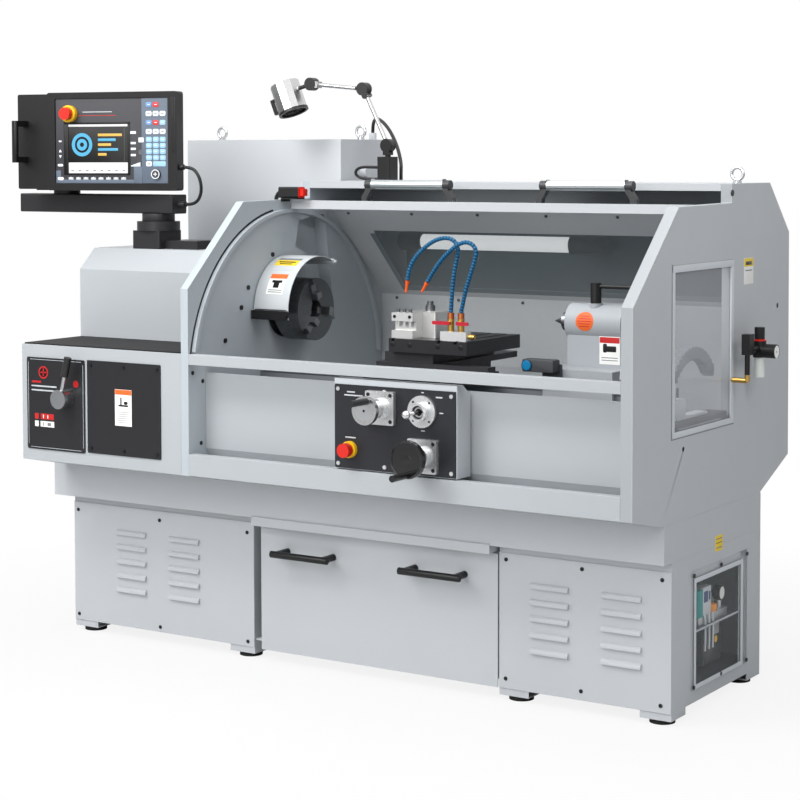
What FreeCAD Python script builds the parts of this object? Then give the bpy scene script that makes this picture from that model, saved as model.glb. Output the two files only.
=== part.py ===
import FreeCAD, Part
import math
import os

os.makedirs("parts", exist_ok=True)

# A manual and programmed turning lathe on two sheet-metal pedestals.
# X runs along the bed with 0 at the right-hand wall's outer face, Y runs to the back
# with 0 at the front of the pedestals, and Z runs up with 0 at the floor. All lengths
# are millimetres and all angles are degrees. The finished pieces are moved so that the
# origin is the bottom centre of the whole machine.

# Clearances
seat_gap = 0.3
pin_gap = 0.05
sheet = 3.0

# Levels above the floor
foot_height = 14.0
skirt_height = 20.0
pedestal_height = 414.0
pedestal_top_margin = 24.0
plinth_height = 102.0
lower_rail_bottom = 568.0
lower_rail_height = 61.0
upper_rail_bottom = 884.0
upper_rail_height = 30.0
roof_height = 1397.0
bed_top = 837.0
centre_height = 180.0
spindle_height = bed_top + centre_height
cover_rise = 173.0

# Lengths along the machine
right_wall_width = 33.0
left_wall_width = 26.0
bay_length = 1360.0
head_length = 611.0
plinth_overhang = 45.0
right_pedestal_length = 510.0
left_pedestal_length = 697.0
left_pedestal_start = 1338.0

# Depths
machine_front = -230.0
rail_depth = 26.0
recess_front = -151.0
pedestal_depth = 583.0
plinth_front = -45.0
head_front = 28.6
cover_back = 777.0
roof_front = 368.0
roof_back = 633.0
roof_lip = 20.0
roof_slope = 142.0
roof_step = 52.0
wall_front_drop = 298.0
back_bottom = 614.0
spindle_depth = 235.0

# Louvres
louvre_rows = 5
louvre_pitch = 44.0
louvre_length = 116.0
louvre_drop = 15.0
louvre_stand = 9.0
louvre_bottom = 141.0
louvre_wall = 1.5
left_louvre_starts = (-1861.0, -1656.0)
right_louvre_starts = (-413.0, -200.0)

# Levelling feet
foot_radius = 34.0
foot_stem_radius = 8.0
foot_inset = 45.0
corner_plate = 90.0

# Coolant tank and chip tray
tank_left = -1308.0
tank_right = -512.0
tank_door_thick = 4.0
tank_side_gap = 8.0
tank_depth = 556.0
tank_top = 380.0
runner_level = 60.0
runner_thick = 6.0
tray_runner_level = 404.0
tray_lip_height = 26.0
handle_centres = (-1132.0, -696.0)
handle_span = 160.0
handle_stand = 57.0
handle_radius = 10.0
handle_level = 332.0

# Lubricator compartment at the right end
lube_window = (145.0, 435.0)
lube_window_levels = (76.0, 359.0)
lube_pane = (117.0, 490.0)
lube_pane_levels = (68.0, 386.0)
pane_thick = 4.0
lube_shelf_level = 216.0
lube_shelf_thick = 6.0

# Bed and carriage
bed_front = 110.0
bed_back = 360.0
bed_right = -150.0
bed_wall = 55.0
saddle_left = -947.0
saddle_right = -754.0
saddle_front = 60.0
saddle_back = 530.0
saddle_rise = 57.0
arm_gap = 4.0
arm_thick = 20.0
saddle_top = bed_top + saddle_rise
arm_top = upper_rail_bottom - arm_gap
arm_bottom = arm_top - arm_thick
control_left = -893.0
control_right = -507.0
control_front = -224.0
control_back = -156.0
control_bottom = 632.0
control_top = 876.0
control_back_top = 846.0
control_plate_thick = 3.0

# Hand controls on the carriage
silver_wheel = (-740.0, 805.0)
black_wheel = (-607.0, 686.0)
flange_side = 90.0
flange_thick = 12.0
wheel_thick = 14.0
silver_wheel_radius = 38.0
black_wheel_radius = 50.0
wheel_stand = 78.0
wheel_hub_radius = 20.0
crank_shaft_radius = 8.0
grip_radius = 9.0
silver_grip_length = 74.0
silver_grip_throw = 28.0
silver_grip_angle = 69.0
black_grip_length = 70.0
black_grip_throw = 40.0
black_grip_angle = -90.0
joystick_centre = (-611.0, 803.0)
joystick_plate_radius = 42.5
joystick_ball_radius = 11.5
joystick_length = 80.0
joystick_rod_radius = 4.5
stop_centre = (-840.5, 686.0)
stop_collar_radius = 22.5
stop_head_radius = 19.0
stop_stem_radius = 8.0
stop_stand = 37.0
stop_travel = 5.0

# Cross slide, tool post and coolant fittings
cross_left = -904.0
cross_right = -649.0
cross_front = 60.0
cross_back = 360.0
cross_thick = 38.0
slide_base_left = -930.0
slide_base_right = -770.0
slide_base_top = saddle_top + 27.0
cross_bottom = slide_base_top + 2.0
post_centre = (-835.0, 172.0)
post_half = 46.0
post_height = 72.0
post_stud_radius = 14.0
holder_left = -902.0
holder_right = -832.0
holder_front = 72.0
holder_height = 72.0
manifold_left = -745.0
manifold_right = -660.0
manifold_front = 75.0
manifold_back = 105.0
manifold_height = 25.0
valve_places = (-717.0, -684.0)
valve_radius = 9.5
valve_height = 52.0
lever_reaches = (-50.0, 34.0)
lever_half = 5.0
hose_radius = 6.5
hose_bore = 3.0
hose_pitch = 9.0
hose_groove = 1.6
hose_seat = 1.3
nozzle_length = 34.0

# Spindle and chuck
spindle_radius = 45.0
spindle_bore = 27.0
bar_hole_radius = 36.0
spindle_tail_gap = 45.0
head_casting_gap = 90.0
head_casting_rise = 105.0
bearing_radius = 70.0
bearing_width = 40.0
chuck_face = -1277.0
chuck_radius = 93.5
chuck_depth = 86.0
chuck_bore = 26.0
chuck_back_radius = 75.0
jaw_width = 24.0
jaw_height = 44.0
jaw_stand = 24.0
jaw_root = 14.0
jaw_inner = 30.0
jaw_travel = 6.0

# Chuck guard
guard_radius = 160.0
guard_width = 124.0
guard_front_angle = 188.0
guard_back_angle = 62.0
guard_hinge = (315.0, 1156.0)
guard_pin_radius = 5.0
guard_handle_height = 27.0
guard_side_gap = 4.0
wall_bolt_height = guard_side_gap - 0.6

# Rolling door
door_axis = (263.0, roof_height - 566.0)
door_inner_radius = 488.0
door_sheet = 3.5
track_inner_radius = 474.0
track_outer_radius = 484.3
track_width = 12.0
track_back_angle = 2.0
track_rail_gap = 4.4
door_side_gap = 8.0
door_back_angle = -1.5
rail_bottom_radius = 484.6
rail_top_radius = 510.0
rail_front = -3.0
rail_back = 19.0
door_handles = ((-1131.0, -816.0), (-544.0, -234.0))
door_handle_stand = 49.0
door_handle_radius = 14.0
door_handle_offset = 8.5
door_bracket_width = 34.0

# Rear: splash plate with its light window, and the work light
splash_top = (455.0, roof_height - 62.7)
splash_bend = (770.0, roof_height - 366.7)
splash_bottom = 618.0
light_window = (-1280.0, -60.0)
light_window_start = 132.0
light_window_width = 264.0
light_depth = 680.0
light_level = roof_height - 191.0
light_tube = (-1175.0, -650.0)
light_cap_ends = (-1257.0, -530.0)
light_tube_radius = 23.5
light_cap_radius = 29.0
splash_screw_pitch = 232.5
splash_screw_start = -1334.5

# Interlock switch on the left wall
switch_rise = 4.0
switch_bracket = 4.0
switch_height = 33.0
switch_length = 62.0
switch_key = (6.0, 27.0)

# End window in the right wall
end_window = (-3.0, 385.0)
end_window_levels = (749.0, 1192.0)

# Electrical cabinet
cabinet_left = -2043.0
cabinet_right = -1425.0
cabinet_depth = 258.0
cabinet_bottom = 700.0
cabinet_top = 1528.0

# Pendant
pivot_block = ((-1880.0, -1773.0), (105.0, 215.0))
pivot_block_height = 56.0
pivot_centre = (-1820.0, 160.0)
pivot_lower_radius = 66.5
pivot_upper_radius = 50.5
pivot_lower_height = 28.0
pivot_upper_height = 24.0
pivot_pin_radius = 20.0
arm_left = -2366.0
arm_reach = 83.0
arm_hollow_gap = 37.0
arm_right = pivot_centre[0] + arm_reach
arm_front = 126.0
arm_back = 194.0
pendant_arm_height = 59.0
pendant_corner = (-2150.0, 20.0)
pendant_turn = 12.0
pendant_width = 453.0
pendant_depth = 110.0
bezel_depth = 42.0
housing_margin = 28.0
housing_right_margin = 110.0
cable_gland_level = 72.0
pendant_height = 304.0
pendant_box_width = 112.0
pendant_box_setback = 12.0
swivel_height = 12.0
swivel_radius = 42.0
swivel_place = (-2196.0, 160.0)
swivel_pin_radius = 12.0
pendant_mount_back = 175.0
pendant_stop_place = (80.0, 238.0)
panel_span = (28.0, 421.0)
panel_levels = (22.0, 285.0)
panel_recess = 4.0
screen_span = (74.0, 282.0)
screen_levels = (54.0, 205.0)
screen_recess = 7.0
dial_place = (380.0, 51.0)
dial_radius = 15.0
dial_stand = 4.0
pendant_handle_height = 130.0
pendant_handle_stand = 70.0
pendant_handle_place = -85.0
pendant_handle_thick = 18.0
pendant_cable_radius = 5.0
pendant_cable_route = ((-1688, 160, 1327), (-1662, 157, 1338), (-1645, 151, 1360), (-1638, 144, 1388),
                       (-1645, 140, 1417))

# Work lamp
lamp_depth = 455.0
lamp_block = (-1187.0, -1142.0)
lamp_block_depth = 52.0
lamp_block_height = 75.0
lamp_post_height = 14.0
lamp_tube_radius = 7.0
lamp_disc_radius = 20.0
lamp_joints = ((-1163.0, roof_height + lamp_block_height + lamp_post_height + lamp_disc_radius),
               (-1250.0, roof_height + 282.0), (-1445.0, roof_height + 301.0))
lamp_disc_width = 13.0
lamp_cheek_width = 7.0
lamp_pin_radius = 4.0
lamp_head_top = (-1551.0, roof_height + 304.0)
lamp_head_bottom = (-1514.0, roof_height + 213.0)
lamp_head_radius = 46.0
lamp_head_sides = 12
lamp_cable_radius = 5.5
lamp_cable_route = ((-1447, 800, 1550), (-1447, 800, 1572), (-1430, 782, 1590), (-1395, 746, 1597),
                    (-1335, 693, 1582), (-1272, 638, 1551), (-1212, 583, 1505), (-1168, 537, 1455),
                    (-1156, 517, 1426), (-1156, 517, 1397))
block_cable_route = ((-1187, 450, 1440), (-1216, 450, 1440), (-1246, 452, 1441), (-1270, 455, 1438),
                     (-1285, 459, 1428), (-1286, 463, 1416), (-1272, 467, 1407), (-1242, 470, 1403.5),
                     (-1187, 470, 1403.5))

# Tailstock
tail_left = -411.0
tail_length = 170.0
tail_body_radius = 52.0
quill_radius = 26.0
quill_stand = 24.0
tail_wheel_radius = 80.0
tail_wheel_stand = 30.0
tail_shaft_radius = 10.0
lock_post = (-333.0, 220.0)
lock_post_radius = 15.0
lock_post_height = 60.0
lock_rod_radius = 6.0
lock_rod_length = 115.0

# Speed lever on the gearbox housing
gear_plate = (-2008.0, -1780.0)
gear_plate_levels = (601.0, 876.0)
cover_plate = (-1770.0, -1493.0)
cover_plate_levels = (605.0, 878.0)
gear_lever_centre = (-1846.0, 761.0)
gear_hub_radius = 28.5
gear_hub_length = 44.0
gear_shaft_radius = 10.0
gear_lever_length = 118.0
gear_lever_lean = 14.0

# Air regulator on the right wall
regulator_place = (45.0, 458.0)
regulator_body_radius = 18.0
regulator_bowl_level = 869.0
regulator_body_level = 923.0
regulator_knob_level = 970.0
regulator_top = 1005.0

# Drive
motor_radius = 105.0
motor_back_gap = 3.0
motor_axis = (pedestal_depth - sheet - motor_back_gap - motor_radius, 690.0)
motor_length = 370.0
motor_shaft_radius = 19.0
motor_tail_gap = 55.0
motor_pulley_radius = 50.0
spindle_pulley_radius = 75.0
pulley_width = 44.0
belt_thick = 6.0

# Derived levels and faces
pedestal_top = foot_height + pedestal_height
plinth_top = pedestal_top + plinth_height
lower_rail_top = lower_rail_bottom + lower_rail_height
upper_rail_top = upper_rail_bottom + upper_rail_height
rail_back_face = machine_front + rail_depth
bay_right = -right_wall_width
bay_left = bay_right - bay_length
wall_left = bay_left - left_wall_width
head_left = wall_left - head_length
spindle_tail = head_left + spindle_tail_gap
head_casting_left = head_left + head_casting_gap
motor_span = (spindle_tail + motor_tail_gap, spindle_tail + motor_tail_gap + motor_length)
plinth_left = head_left - plinth_overhang
left_pedestal_left = -left_pedestal_start - left_pedestal_length
bay = (bay_left, bay_right)


def vector(x, y, z):
    return FreeCAD.Vector(x, y, z)


def block(x, y, z):
    """Box between three (low, high) pairs."""
    return Part.makeBox(x[1] - x[0], y[1] - y[0], z[1] - z[0], vector(x[0], y[0], z[0]))


def rod(start, axis, radius, length):
    """Round bar from a start point along an axis."""
    return Part.makeCylinder(radius, length, vector(*start), vector(*axis))


def pipe(start, axis, outer, inner, length):
    return rod(start, axis, outer, length).cut(rod(start, axis, inner, length))


def bar_between(start, end, radius):
    """Round bar from one point to another."""
    a, b = vector(*start), vector(*end)
    return Part.makeCylinder(radius, (b - a).Length, a, b - a)


def join(shapes):
    """One solid from touching or overlapping shapes."""
    whole = shapes[0].fuse(list(shapes[1:]))
    return whole.removeSplitter()


def group(shapes):
    """Separate solids kept side by side in one node."""
    solids = []
    for shape in shapes:
        solids.extend(shape.Solids)
    return Part.makeCompound(solids)


def prism_x(outline, x):
    """Outline of (Y, Z) points carried from x[0] to x[1]."""
    corners = [vector(x[0], y, z) for y, z in outline]
    face = Part.Face(Part.makePolygon(corners + corners[:1]))
    return face.extrude(vector(x[1] - x[0], 0, 0))


def prism_y(outline, y):
    """Outline of (X, Z) points carried from y[0] to y[1]."""
    corners = [vector(a, y[0], b) for a, b in outline]
    face = Part.Face(Part.makePolygon(corners + corners[:1]))
    return face.extrude(vector(0, y[1] - y[0], 0))


def unit_left(start, end):
    """Unit normal on the left of a line in the plane."""
    run, rise = end[0] - start[0], end[1] - start[1]
    length = math.hypot(run, rise)
    return (-rise / length, run / length)


def moved_point(point, normals, distance):
    """Point moved along the mitre of one or two edge normals."""
    total = [sum(n[0] for n in normals), sum(n[1] for n in normals)]
    if len(normals) == 2:
        share = 1 + normals[0][0] * normals[1][0] + normals[0][1] * normals[1][1]
        total = [total[0] / share, total[1] / share]
    return (point[0] + distance * total[0], point[1] + distance * total[1])


def folded_sheet(points, thickness, x):
    """Sheet of even thickness folded along points, on the left of the line, spanning x."""
    other = []
    for i, point in enumerate(points):
        normals = []
        if i > 0:
            normals.append(unit_left(points[i - 1], point))
        if i < len(points) - 1:
            normals.append(unit_left(point, points[i + 1]))
        other.append(moved_point(point, normals, thickness))
    return prism_x(list(points) + other[::-1], x)


def inset(points, distance):
    """Closed outline, listed counter-clockwise, moved inwards by a distance."""
    count = len(points)
    inner = []
    for i, point in enumerate(points):
        before = unit_left(points[i - 1], point)
        after = unit_left(point, points[(i + 1) % count])
        inner.append(moved_point(point, [before, after], distance))
    return inner


def arc_point(centre, radius, angle):
    turn = math.radians(angle)
    return (centre[0] + radius * math.cos(turn), centre[1] + radius * math.sin(turn))


def arc_band(centre, inner, outer, start, end, x):
    """Curved bar about an X axis, angles counted from +Y towards +Z."""
    middle = (start + end) / 2

    def place(radius, angle):
        y, z = arc_point(centre, radius, angle)
        return vector(x[0], y, z)

    edges = [
        Part.Arc(place(outer, start), place(outer, middle), place(outer, end)).toShape(),
        Part.LineSegment(place(outer, end), place(inner, end)).toShape(),
        Part.Arc(place(inner, end), place(inner, middle), place(inner, start)).toShape(),
        Part.LineSegment(place(inner, start), place(outer, start)).toShape(),
    ]
    return Part.Face(Part.Wire(edges)).extrude(vector(x[1] - x[0], 0, 0))


def rounded(shape, radius, axis):
    """Shape with its straight edges along one axis rounded."""
    direction = vector(*axis)
    chosen = []
    for edge in shape.Edges:
        if edge.Curve.TypeId == "Part::GeomLine":
            if abs(abs(edge.tangentAt(edge.FirstParameter).dot(direction)) - 1) < 1e-6:
                chosen.append(edge)
    return shape.makeFillet(radius, chosen)


def tube_along(route, radius, name):
    """Round tube on straight runs joined by arcs as large as the runs allow."""
    points = [vector(*p) for p in route]
    edges = []
    bends = []
    begin = points[0]
    for before, here, after in zip(points, points[1:], points[2:]):
        back, ahead = (before - here), (after - here)
        turn = math.pi - back.getAngle(ahead)
        reach = 0.45 * min(back.Length, ahead.Length)
        bends.append(reach / math.tan(turn / 2))
        start = here + back.normalize() * reach
        finish = here + ahead.normalize() * reach
        centre_way = (start + finish) * 0.5 - here
        bend = bends[-1]
        depth = math.hypot(bend, reach) - bend
        middle = here + centre_way.normalize() * depth
        edges.append(Part.LineSegment(begin, start).toShape())
        edges.append(Part.Arc(start, middle, finish).toShape())
        begin = finish
    edges.append(Part.LineSegment(begin, points[-1]).toShape())
    path = Part.Wire(edges)
    circle = Part.Wire(Part.Circle(points[0], points[1] - points[0], radius).toShape())
    solid = path.makePipeShell([circle], True, False)
    share = solid.Volume / (math.pi * radius ** 2 * path.Length)
    print(name, "length", round(path.Length), "bend radii", [round(b) for b in bends], "volume share",
          round(share, 4))
    return solid


# Wall outline: the same for both end walls, front bottom corner first, counter-clockwise
# when Y is to the right and Z is up.
wall_outline = [
    (machine_front, lower_rail_bottom - 1),
    (-59.0, plinth_top),
    (pedestal_depth - 7, plinth_top),
    (cover_back + 5.0, back_bottom),
    (cover_back, roof_height - roof_slope),
    (roof_back, roof_height),
    (roof_front, roof_height),
    (roof_front, roof_height - roof_step),
    (32.0, roof_height - roof_step - 4.0),
    (machine_front, roof_height - wall_front_drop),
]


def hollow_wall(x, open_side):
    """End wall as a folded tray, open on one side."""
    inner_x = (x[0] - 1 if open_side == "left" else x[0] + sheet, x[1] - sheet)
    return prism_x(wall_outline, x).cut(prism_x(inset(wall_outline, sheet), inner_x))


# Pedestals
panel_bottom = foot_height + skirt_height
panel_top = pedestal_top - pedestal_top_margin


def pedestal(x0, x1, vents):
    """Sheet-metal box on four corner plates, with a skirt cut up between its feet."""
    shell = block((x0, x1), (sheet, pedestal_depth), (foot_height, pedestal_top))
    shell = shell.cut(block((x0 + sheet, x1 - sheet), (2 * sheet, pedestal_depth - sheet),
                            (foot_height + sheet, pedestal_top - sheet)))
    gap = (foot_height - 1, panel_bottom)
    shell = shell.cut(block((x0 + corner_plate, x1 - corner_plate), (-1, pedestal_depth + 1), gap))
    shell = shell.cut(block((x0 - 1, x1 + 1), (corner_plate, pedestal_depth - corner_plate), gap))
    for start in vents:
        vent = block((start, start + louvre_length), (0, 3 * sheet),
                     (louvre_bottom, louvre_bottom + louvre_rows * louvre_pitch))
        shell = shell.cut(vent)
    for px in (x0 + foot_inset, x1 - foot_inset):
        for py in (foot_inset, pedestal_depth - foot_inset):
            hole = rod((px, py, foot_height - 1), (0, 0, 1), foot_stem_radius + pin_gap, 2 * sheet + 2)
            shell = shell.cut(hole)
    return shell


left_pedestal = (left_pedestal_left, -left_pedestal_start)
right_pedestal = (-right_pedestal_length, 0.0)


def runner(x, level):
    """Shelf that a drawer slides on, fixed inside a pedestal's side."""
    return block(x, (10.0, pedestal_depth - 10.0), (level - runner_thick, level))


def make_pedestals():
    left = pedestal(*left_pedestal, left_louvre_starts)
    right = pedestal(*right_pedestal, right_louvre_starts)
    window = block((-2 * sheet, 1), lube_window, lube_window_levels)
    right = right.cut(window)
    shelf = block((-150.0, -sheet), (lube_window[0] - 10, lube_window[1] + 10),
                  (lube_shelf_level, lube_shelf_level + lube_shelf_thick))
    right = right.fuse(shelf)
    body_left = tank_left + tank_side_gap
    body_right = tank_right - tank_side_gap
    for level in (runner_level, tray_runner_level):
        left = left.fuse(runner((left_pedestal[1], body_left + 30.0), level))
        right = right.fuse(runner((body_right - 30.0, right_pedestal[0]), level))
    panels = [louvre_panel(*left_pedestal, left_louvre_starts),
              louvre_panel(*right_pedestal, right_louvre_starts)]
    return group([left, right] + panels)


def louvre(start, bottom):
    """Hood of a quarter-round section, open at its lower edge."""
    def hood(x, radius_out, radius_up):
        corners = [(0.0, bottom), (-radius_out, bottom)]
        steps = 4
        for i in range(1, steps + 1):
            turn = math.radians(90.0 * i / steps)
            corners.append((-radius_out * math.cos(turn), bottom + radius_up * math.sin(turn)))
        return prism_x(corners, x)
    outer = hood((start, start + louvre_length), louvre_stand, louvre_drop)
    inner = hood((start + louvre_wall, start + louvre_length - louvre_wall),
                 louvre_stand - louvre_wall, louvre_drop - louvre_wall)
    return outer, inner


def louvre_panel(x0, x1, starts):
    panel = block((x0, x1), (0, sheet), (panel_bottom, panel_top))
    for start in starts:
        for row in range(louvre_rows):
            bottom = louvre_bottom + row * louvre_pitch
            outer, inner = louvre(start, bottom)
            slot = block((start + louvre_wall, start + louvre_length - louvre_wall), (-1, sheet + 1),
                         (bottom, bottom + louvre_drop - 2 * louvre_wall))
            panel = panel.fuse(outer.cut(inner)).cut(slot.cut(outer).fuse(slot.common(inner)))
            panel = panel.cut(block((start + louvre_wall, start + louvre_length - louvre_wall),
                                    (0, sheet + 1),
                                    (bottom, bottom + louvre_drop - 2 * louvre_wall)))
    return panel


def make_levelling_feet():
    feet = []
    for x0, x1 in (left_pedestal, right_pedestal):
        for px in (x0 + foot_inset, x1 - foot_inset):
            for py in (foot_inset, pedestal_depth - foot_inset):
                pad = rod((px, py, 0), (0, 0, 1), foot_radius, foot_height)
                stem = rod((px, py, foot_height), (0, 0, 1), foot_stem_radius, 30.0)
                feet.append(join([pad, stem]))
    return group(feet)


# Plinth and bed
chute = ((-1250.0, -560.0), (20.0, 420.0))


def make_plinth():
    """Shallow frame over both pedestals, with a chute down to the chip tray."""
    frame = block((plinth_left, 0), (plinth_front, pedestal_depth), (pedestal_top, plinth_top))
    pocket = block((-1250.0, -420.0), (plinth_front + 10, pedestal_depth - 10),
                   (pedestal_top + 10, plinth_top + 1))
    frame = frame.cut(pocket)
    frame = frame.cut(block(*chute, (pedestal_top - 1, pedestal_top + 11)))
    under = block((plinth_left + 10, -1270.0), (plinth_front + 10, pedestal_depth - 10),
                  (pedestal_top - 1, plinth_top - 10))
    frame = frame.cut(under)
    return frame


def make_bed():
    """Cast bed with two ways and an open channel between them."""
    casting = block((bay_left, bed_right), (bed_front, bed_back), (plinth_top, bed_top))
    channel = block((bay_left + 110, bed_right - 230), (bed_front + bed_wall, bed_back - bed_wall),
                    (plinth_top - 1, bed_top + 1))
    casting = casting.cut(channel)
    arch = block((bay_left + 160, bed_right - 280), (bed_front - 1, bed_back + 1),
                 (plinth_top - 1, plinth_top + 90))
    return casting.cut(arch)


# Headstock end
housing_outline = [
    (machine_front, lower_rail_bottom - 1),
    (-59.0, plinth_top),
    (head_front, plinth_top),
    (head_front, upper_rail_top),
    (machine_front, upper_rail_top),
]


def make_gearbox_housing():
    solid = prism_x(housing_outline, (head_left, wall_left))
    solid = solid.cut(prism_x(inset(housing_outline, sheet), (head_left + sheet, wall_left + 1)))
    x, z = gear_lever_centre
    return solid.cut(rod((x, machine_front - 1, z), (0, 1, 0), gear_shaft_radius + pin_gap, sheet + 2))


def make_gearbox_plates():
    """Speed plate, cover plate with its blank label, and the mat on the top."""
    front = (machine_front - 3.0, machine_front)
    plate = rounded(block(gear_plate, front, gear_plate_levels), 6.0, (0, 1, 0))
    x, z = gear_lever_centre
    plate = plate.cut(rod((x, machine_front - 4, z), (0, 1, 0), gear_shaft_radius + pin_gap, 6))
    cover = rounded(block(cover_plate, front, cover_plate_levels), 4.0, (0, 1, 0))
    label = block((-1663.0, -1600.0), (machine_front - 3.6, machine_front - 3.0), (693.0, 799.0))
    mat = block((head_left + 8, wall_left - 8), (machine_front + 4, head_front),
                (upper_rail_top, upper_rail_top + 4))
    return group([plate, cover, label, mat])


def make_gear_lever():
    x, z = gear_lever_centre
    face = machine_front - 3.0 - seat_gap
    shaft = rod((x, machine_front + 20, z), (0, -1, 0), gear_shaft_radius, 30.0)
    hub = rod((x, face, z), (0, -1, 0), gear_hub_radius, gear_hub_length)
    lean = math.radians(gear_lever_lean)
    y = face - gear_hub_length + 12.0
    direction = (math.sin(lean), 0, math.cos(lean))
    stick = rod((x, y, z), direction, 6.0, gear_lever_length - 20)
    foot = (x + direction[0] * (gear_lever_length - 48), y, z + direction[2] * (gear_lever_length - 48))
    grip = rod(foot, direction, 11.0, 58.0)
    return join([hub, shaft, stick, grip])


cover_slope_top = spindle_height + cover_rise
cover_outline = [
    (head_front, plinth_top),
    (pedestal_depth, plinth_top),
    (pedestal_depth, cover_slope_top),
    (97.0, cover_slope_top),
    (head_front, cover_slope_top - 64.0),
]


def make_headstock_cover():
    solid = prism_x(cover_outline, (head_left + 2, wall_left))
    inner = [(y, z if z > plinth_top + 50 else plinth_top - 1) for y, z in inset(cover_outline, sheet)]
    solid = solid.cut(prism_x(inner, (head_left + 2 + sheet, wall_left + 1)))
    solid = solid.cut(rod((head_left + 1, spindle_depth, spindle_height), (1, 0, 0), bar_hole_radius,
                          sheet + 2))
    clear = inset(recess_pocket, -sheet - seat_gap)
    return solid.cut(prism_x(clear, (bay_left - recess_pocket_depth - seat_gap, wall_left + 1)))


def make_headstock():
    """Casting with two bearing seats, and the two bearing rings in them."""
    y, z = spindle_depth, spindle_height
    casting = block((head_casting_left, wall_left - 24), (bed_front, bed_back),
                    (plinth_top, z + head_casting_rise))
    casting = rounded(casting, 12.0, (1, 0, 0))
    casting = casting.cut(block((head_casting_left + 40, wall_left - 64),
                                (bed_front + 40, bed_back - 40), (plinth_top - 1, z - 90)))
    casting = casting.cut(rod((head_casting_left - 1, y, z), (1, 0, 0), spindle_radius + 12, head_length))
    pieces = []
    for start in (head_casting_left, wall_left - 24 - bearing_width):
        seat = rod((start, y, z), (1, 0, 0), bearing_radius, bearing_width)
        casting = casting.cut(seat)
        pieces.append(pipe((start, y, z), (1, 0, 0), bearing_radius, spindle_radius + pin_gap,
                           bearing_width))
    return group([casting] + pieces)


def make_spindle():
    y, z = spindle_depth, spindle_height
    back = chuck_face - chuck_depth
    body = rod((spindle_tail, y, z), (1, 0, 0), spindle_radius, back - 20 - spindle_tail)
    nose = rod((back - 26, y, z), (1, 0, 0), chuck_back_radius, 26.0)
    pulley = rod((spindle_tail, y, z), (1, 0, 0), spindle_pulley_radius, pulley_width - 4)
    solid = join([body, nose, pulley])
    return solid.cut(rod((spindle_tail - 1, y, z), (1, 0, 0), spindle_bore, chuck_face - spindle_tail))


def make_chuck_body():
    y, z = spindle_depth, spindle_height
    back = chuck_face - chuck_depth
    body = rod((back, y, z), (1, 0, 0), chuck_radius, chuck_depth)
    body = body.cut(rod((back - 1, y, z), (1, 0, 0), chuck_bore, chuck_depth + 2))
    for index in range(3):
        slot = block((chuck_face - jaw_root - seat_gap, chuck_face + 1),
                     (y - jaw_width / 2 - seat_gap, y + jaw_width / 2 + seat_gap),
                     (z + chuck_bore - 2, z + chuck_radius + 1))
        slot.rotate(vector(0, y, z), vector(1, 0, 0), jaw_angle(index))
        body = body.cut(slot)
        key = rod((chuck_face - chuck_depth / 2, y, z + chuck_radius - 14), (0, 0, 1), 8.0, 20.0)
        key.rotate(vector(0, y, z), vector(1, 0, 0), jaw_angle(index) + 60)
        body = body.cut(key)
    return body


def jaw_angle(index):
    return 20.0 + 120.0 * index


def make_chuck_jaw(index):
    """Stepped jaw in its radial slot."""
    y, z = spindle_depth, spindle_height
    width = (y - jaw_width / 2, y + jaw_width / 2)
    low = z + jaw_inner + jaw_travel
    root = block((chuck_face - jaw_root, chuck_face + 8), width, (low, low + jaw_height))
    step = block((chuck_face + 8, chuck_face + jaw_stand), width, (low, low + jaw_height * 0.45))
    jaw = join([root, step])
    jaw.rotate(vector(0, y, z), vector(1, 0, 0), jaw_angle(index))
    return jaw


def make_chuck_guard():
    """Curved shield over the chuck, hinged at its rear edge, with a grip strip in front."""
    centre = (spindle_depth, spindle_height)
    x = (bay_left + guard_side_gap, bay_left + guard_side_gap + guard_width)
    shell = arc_band(centre, guard_radius - 2.5, guard_radius, guard_back_angle, guard_front_angle, x)
    knuckle = pipe((x[0], *guard_hinge), (1, 0, 0), guard_pin_radius + 4.0, guard_pin_radius + pin_gap,
                   guard_width)
    lip = arc_point(centre, guard_radius - 1.25, guard_back_angle)
    tongue = prism_x([(lip[0] - 3, lip[1] - 2), (guard_hinge[0] - 5.5, guard_hinge[1] - 5.5),
                      (guard_hinge[0] - 5.0, guard_hinge[1] + 5.5), (lip[0] - 1, lip[1] + 3)], x)
    tongue = tongue.cut(rod((x[0] - 1, *guard_hinge), (1, 0, 0), guard_pin_radius + pin_gap,
                            guard_width + 2))
    front = arc_point(centre, guard_radius, guard_front_angle - 5)
    grip = block(x, (front[0] - 13.0, front[0] + 1.0),
                 (front[1] - guard_handle_height / 2, front[1] + guard_handle_height / 2))
    return join([shell, knuckle, tongue, grip])


def make_drive_motor():
    y, z = motor_axis
    body = rod((motor_span[0], y, z), (1, 0, 0), motor_radius, motor_span[1] - motor_span[0])
    foot = block((motor_span[0] + 60, motor_span[1] - 60), (y - 90, y + 90),
                 (plinth_top, z - motor_radius + 22))
    body = join([body, foot])
    bore = rod((motor_span[0] - 1, y, z), (1, 0, 0), motor_shaft_radius + pin_gap, 120.0)
    return body.cut(bore)


def make_motor_pulley():
    y, z = motor_axis
    wheel = rod((spindle_tail, y, z), (1, 0, 0), motor_pulley_radius, pulley_width - 4)
    shaft = rod((spindle_tail, y, z), (1, 0, 0), motor_shaft_radius, motor_span[0] + 80 - spindle_tail)
    return join([wheel, shaft])


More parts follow.
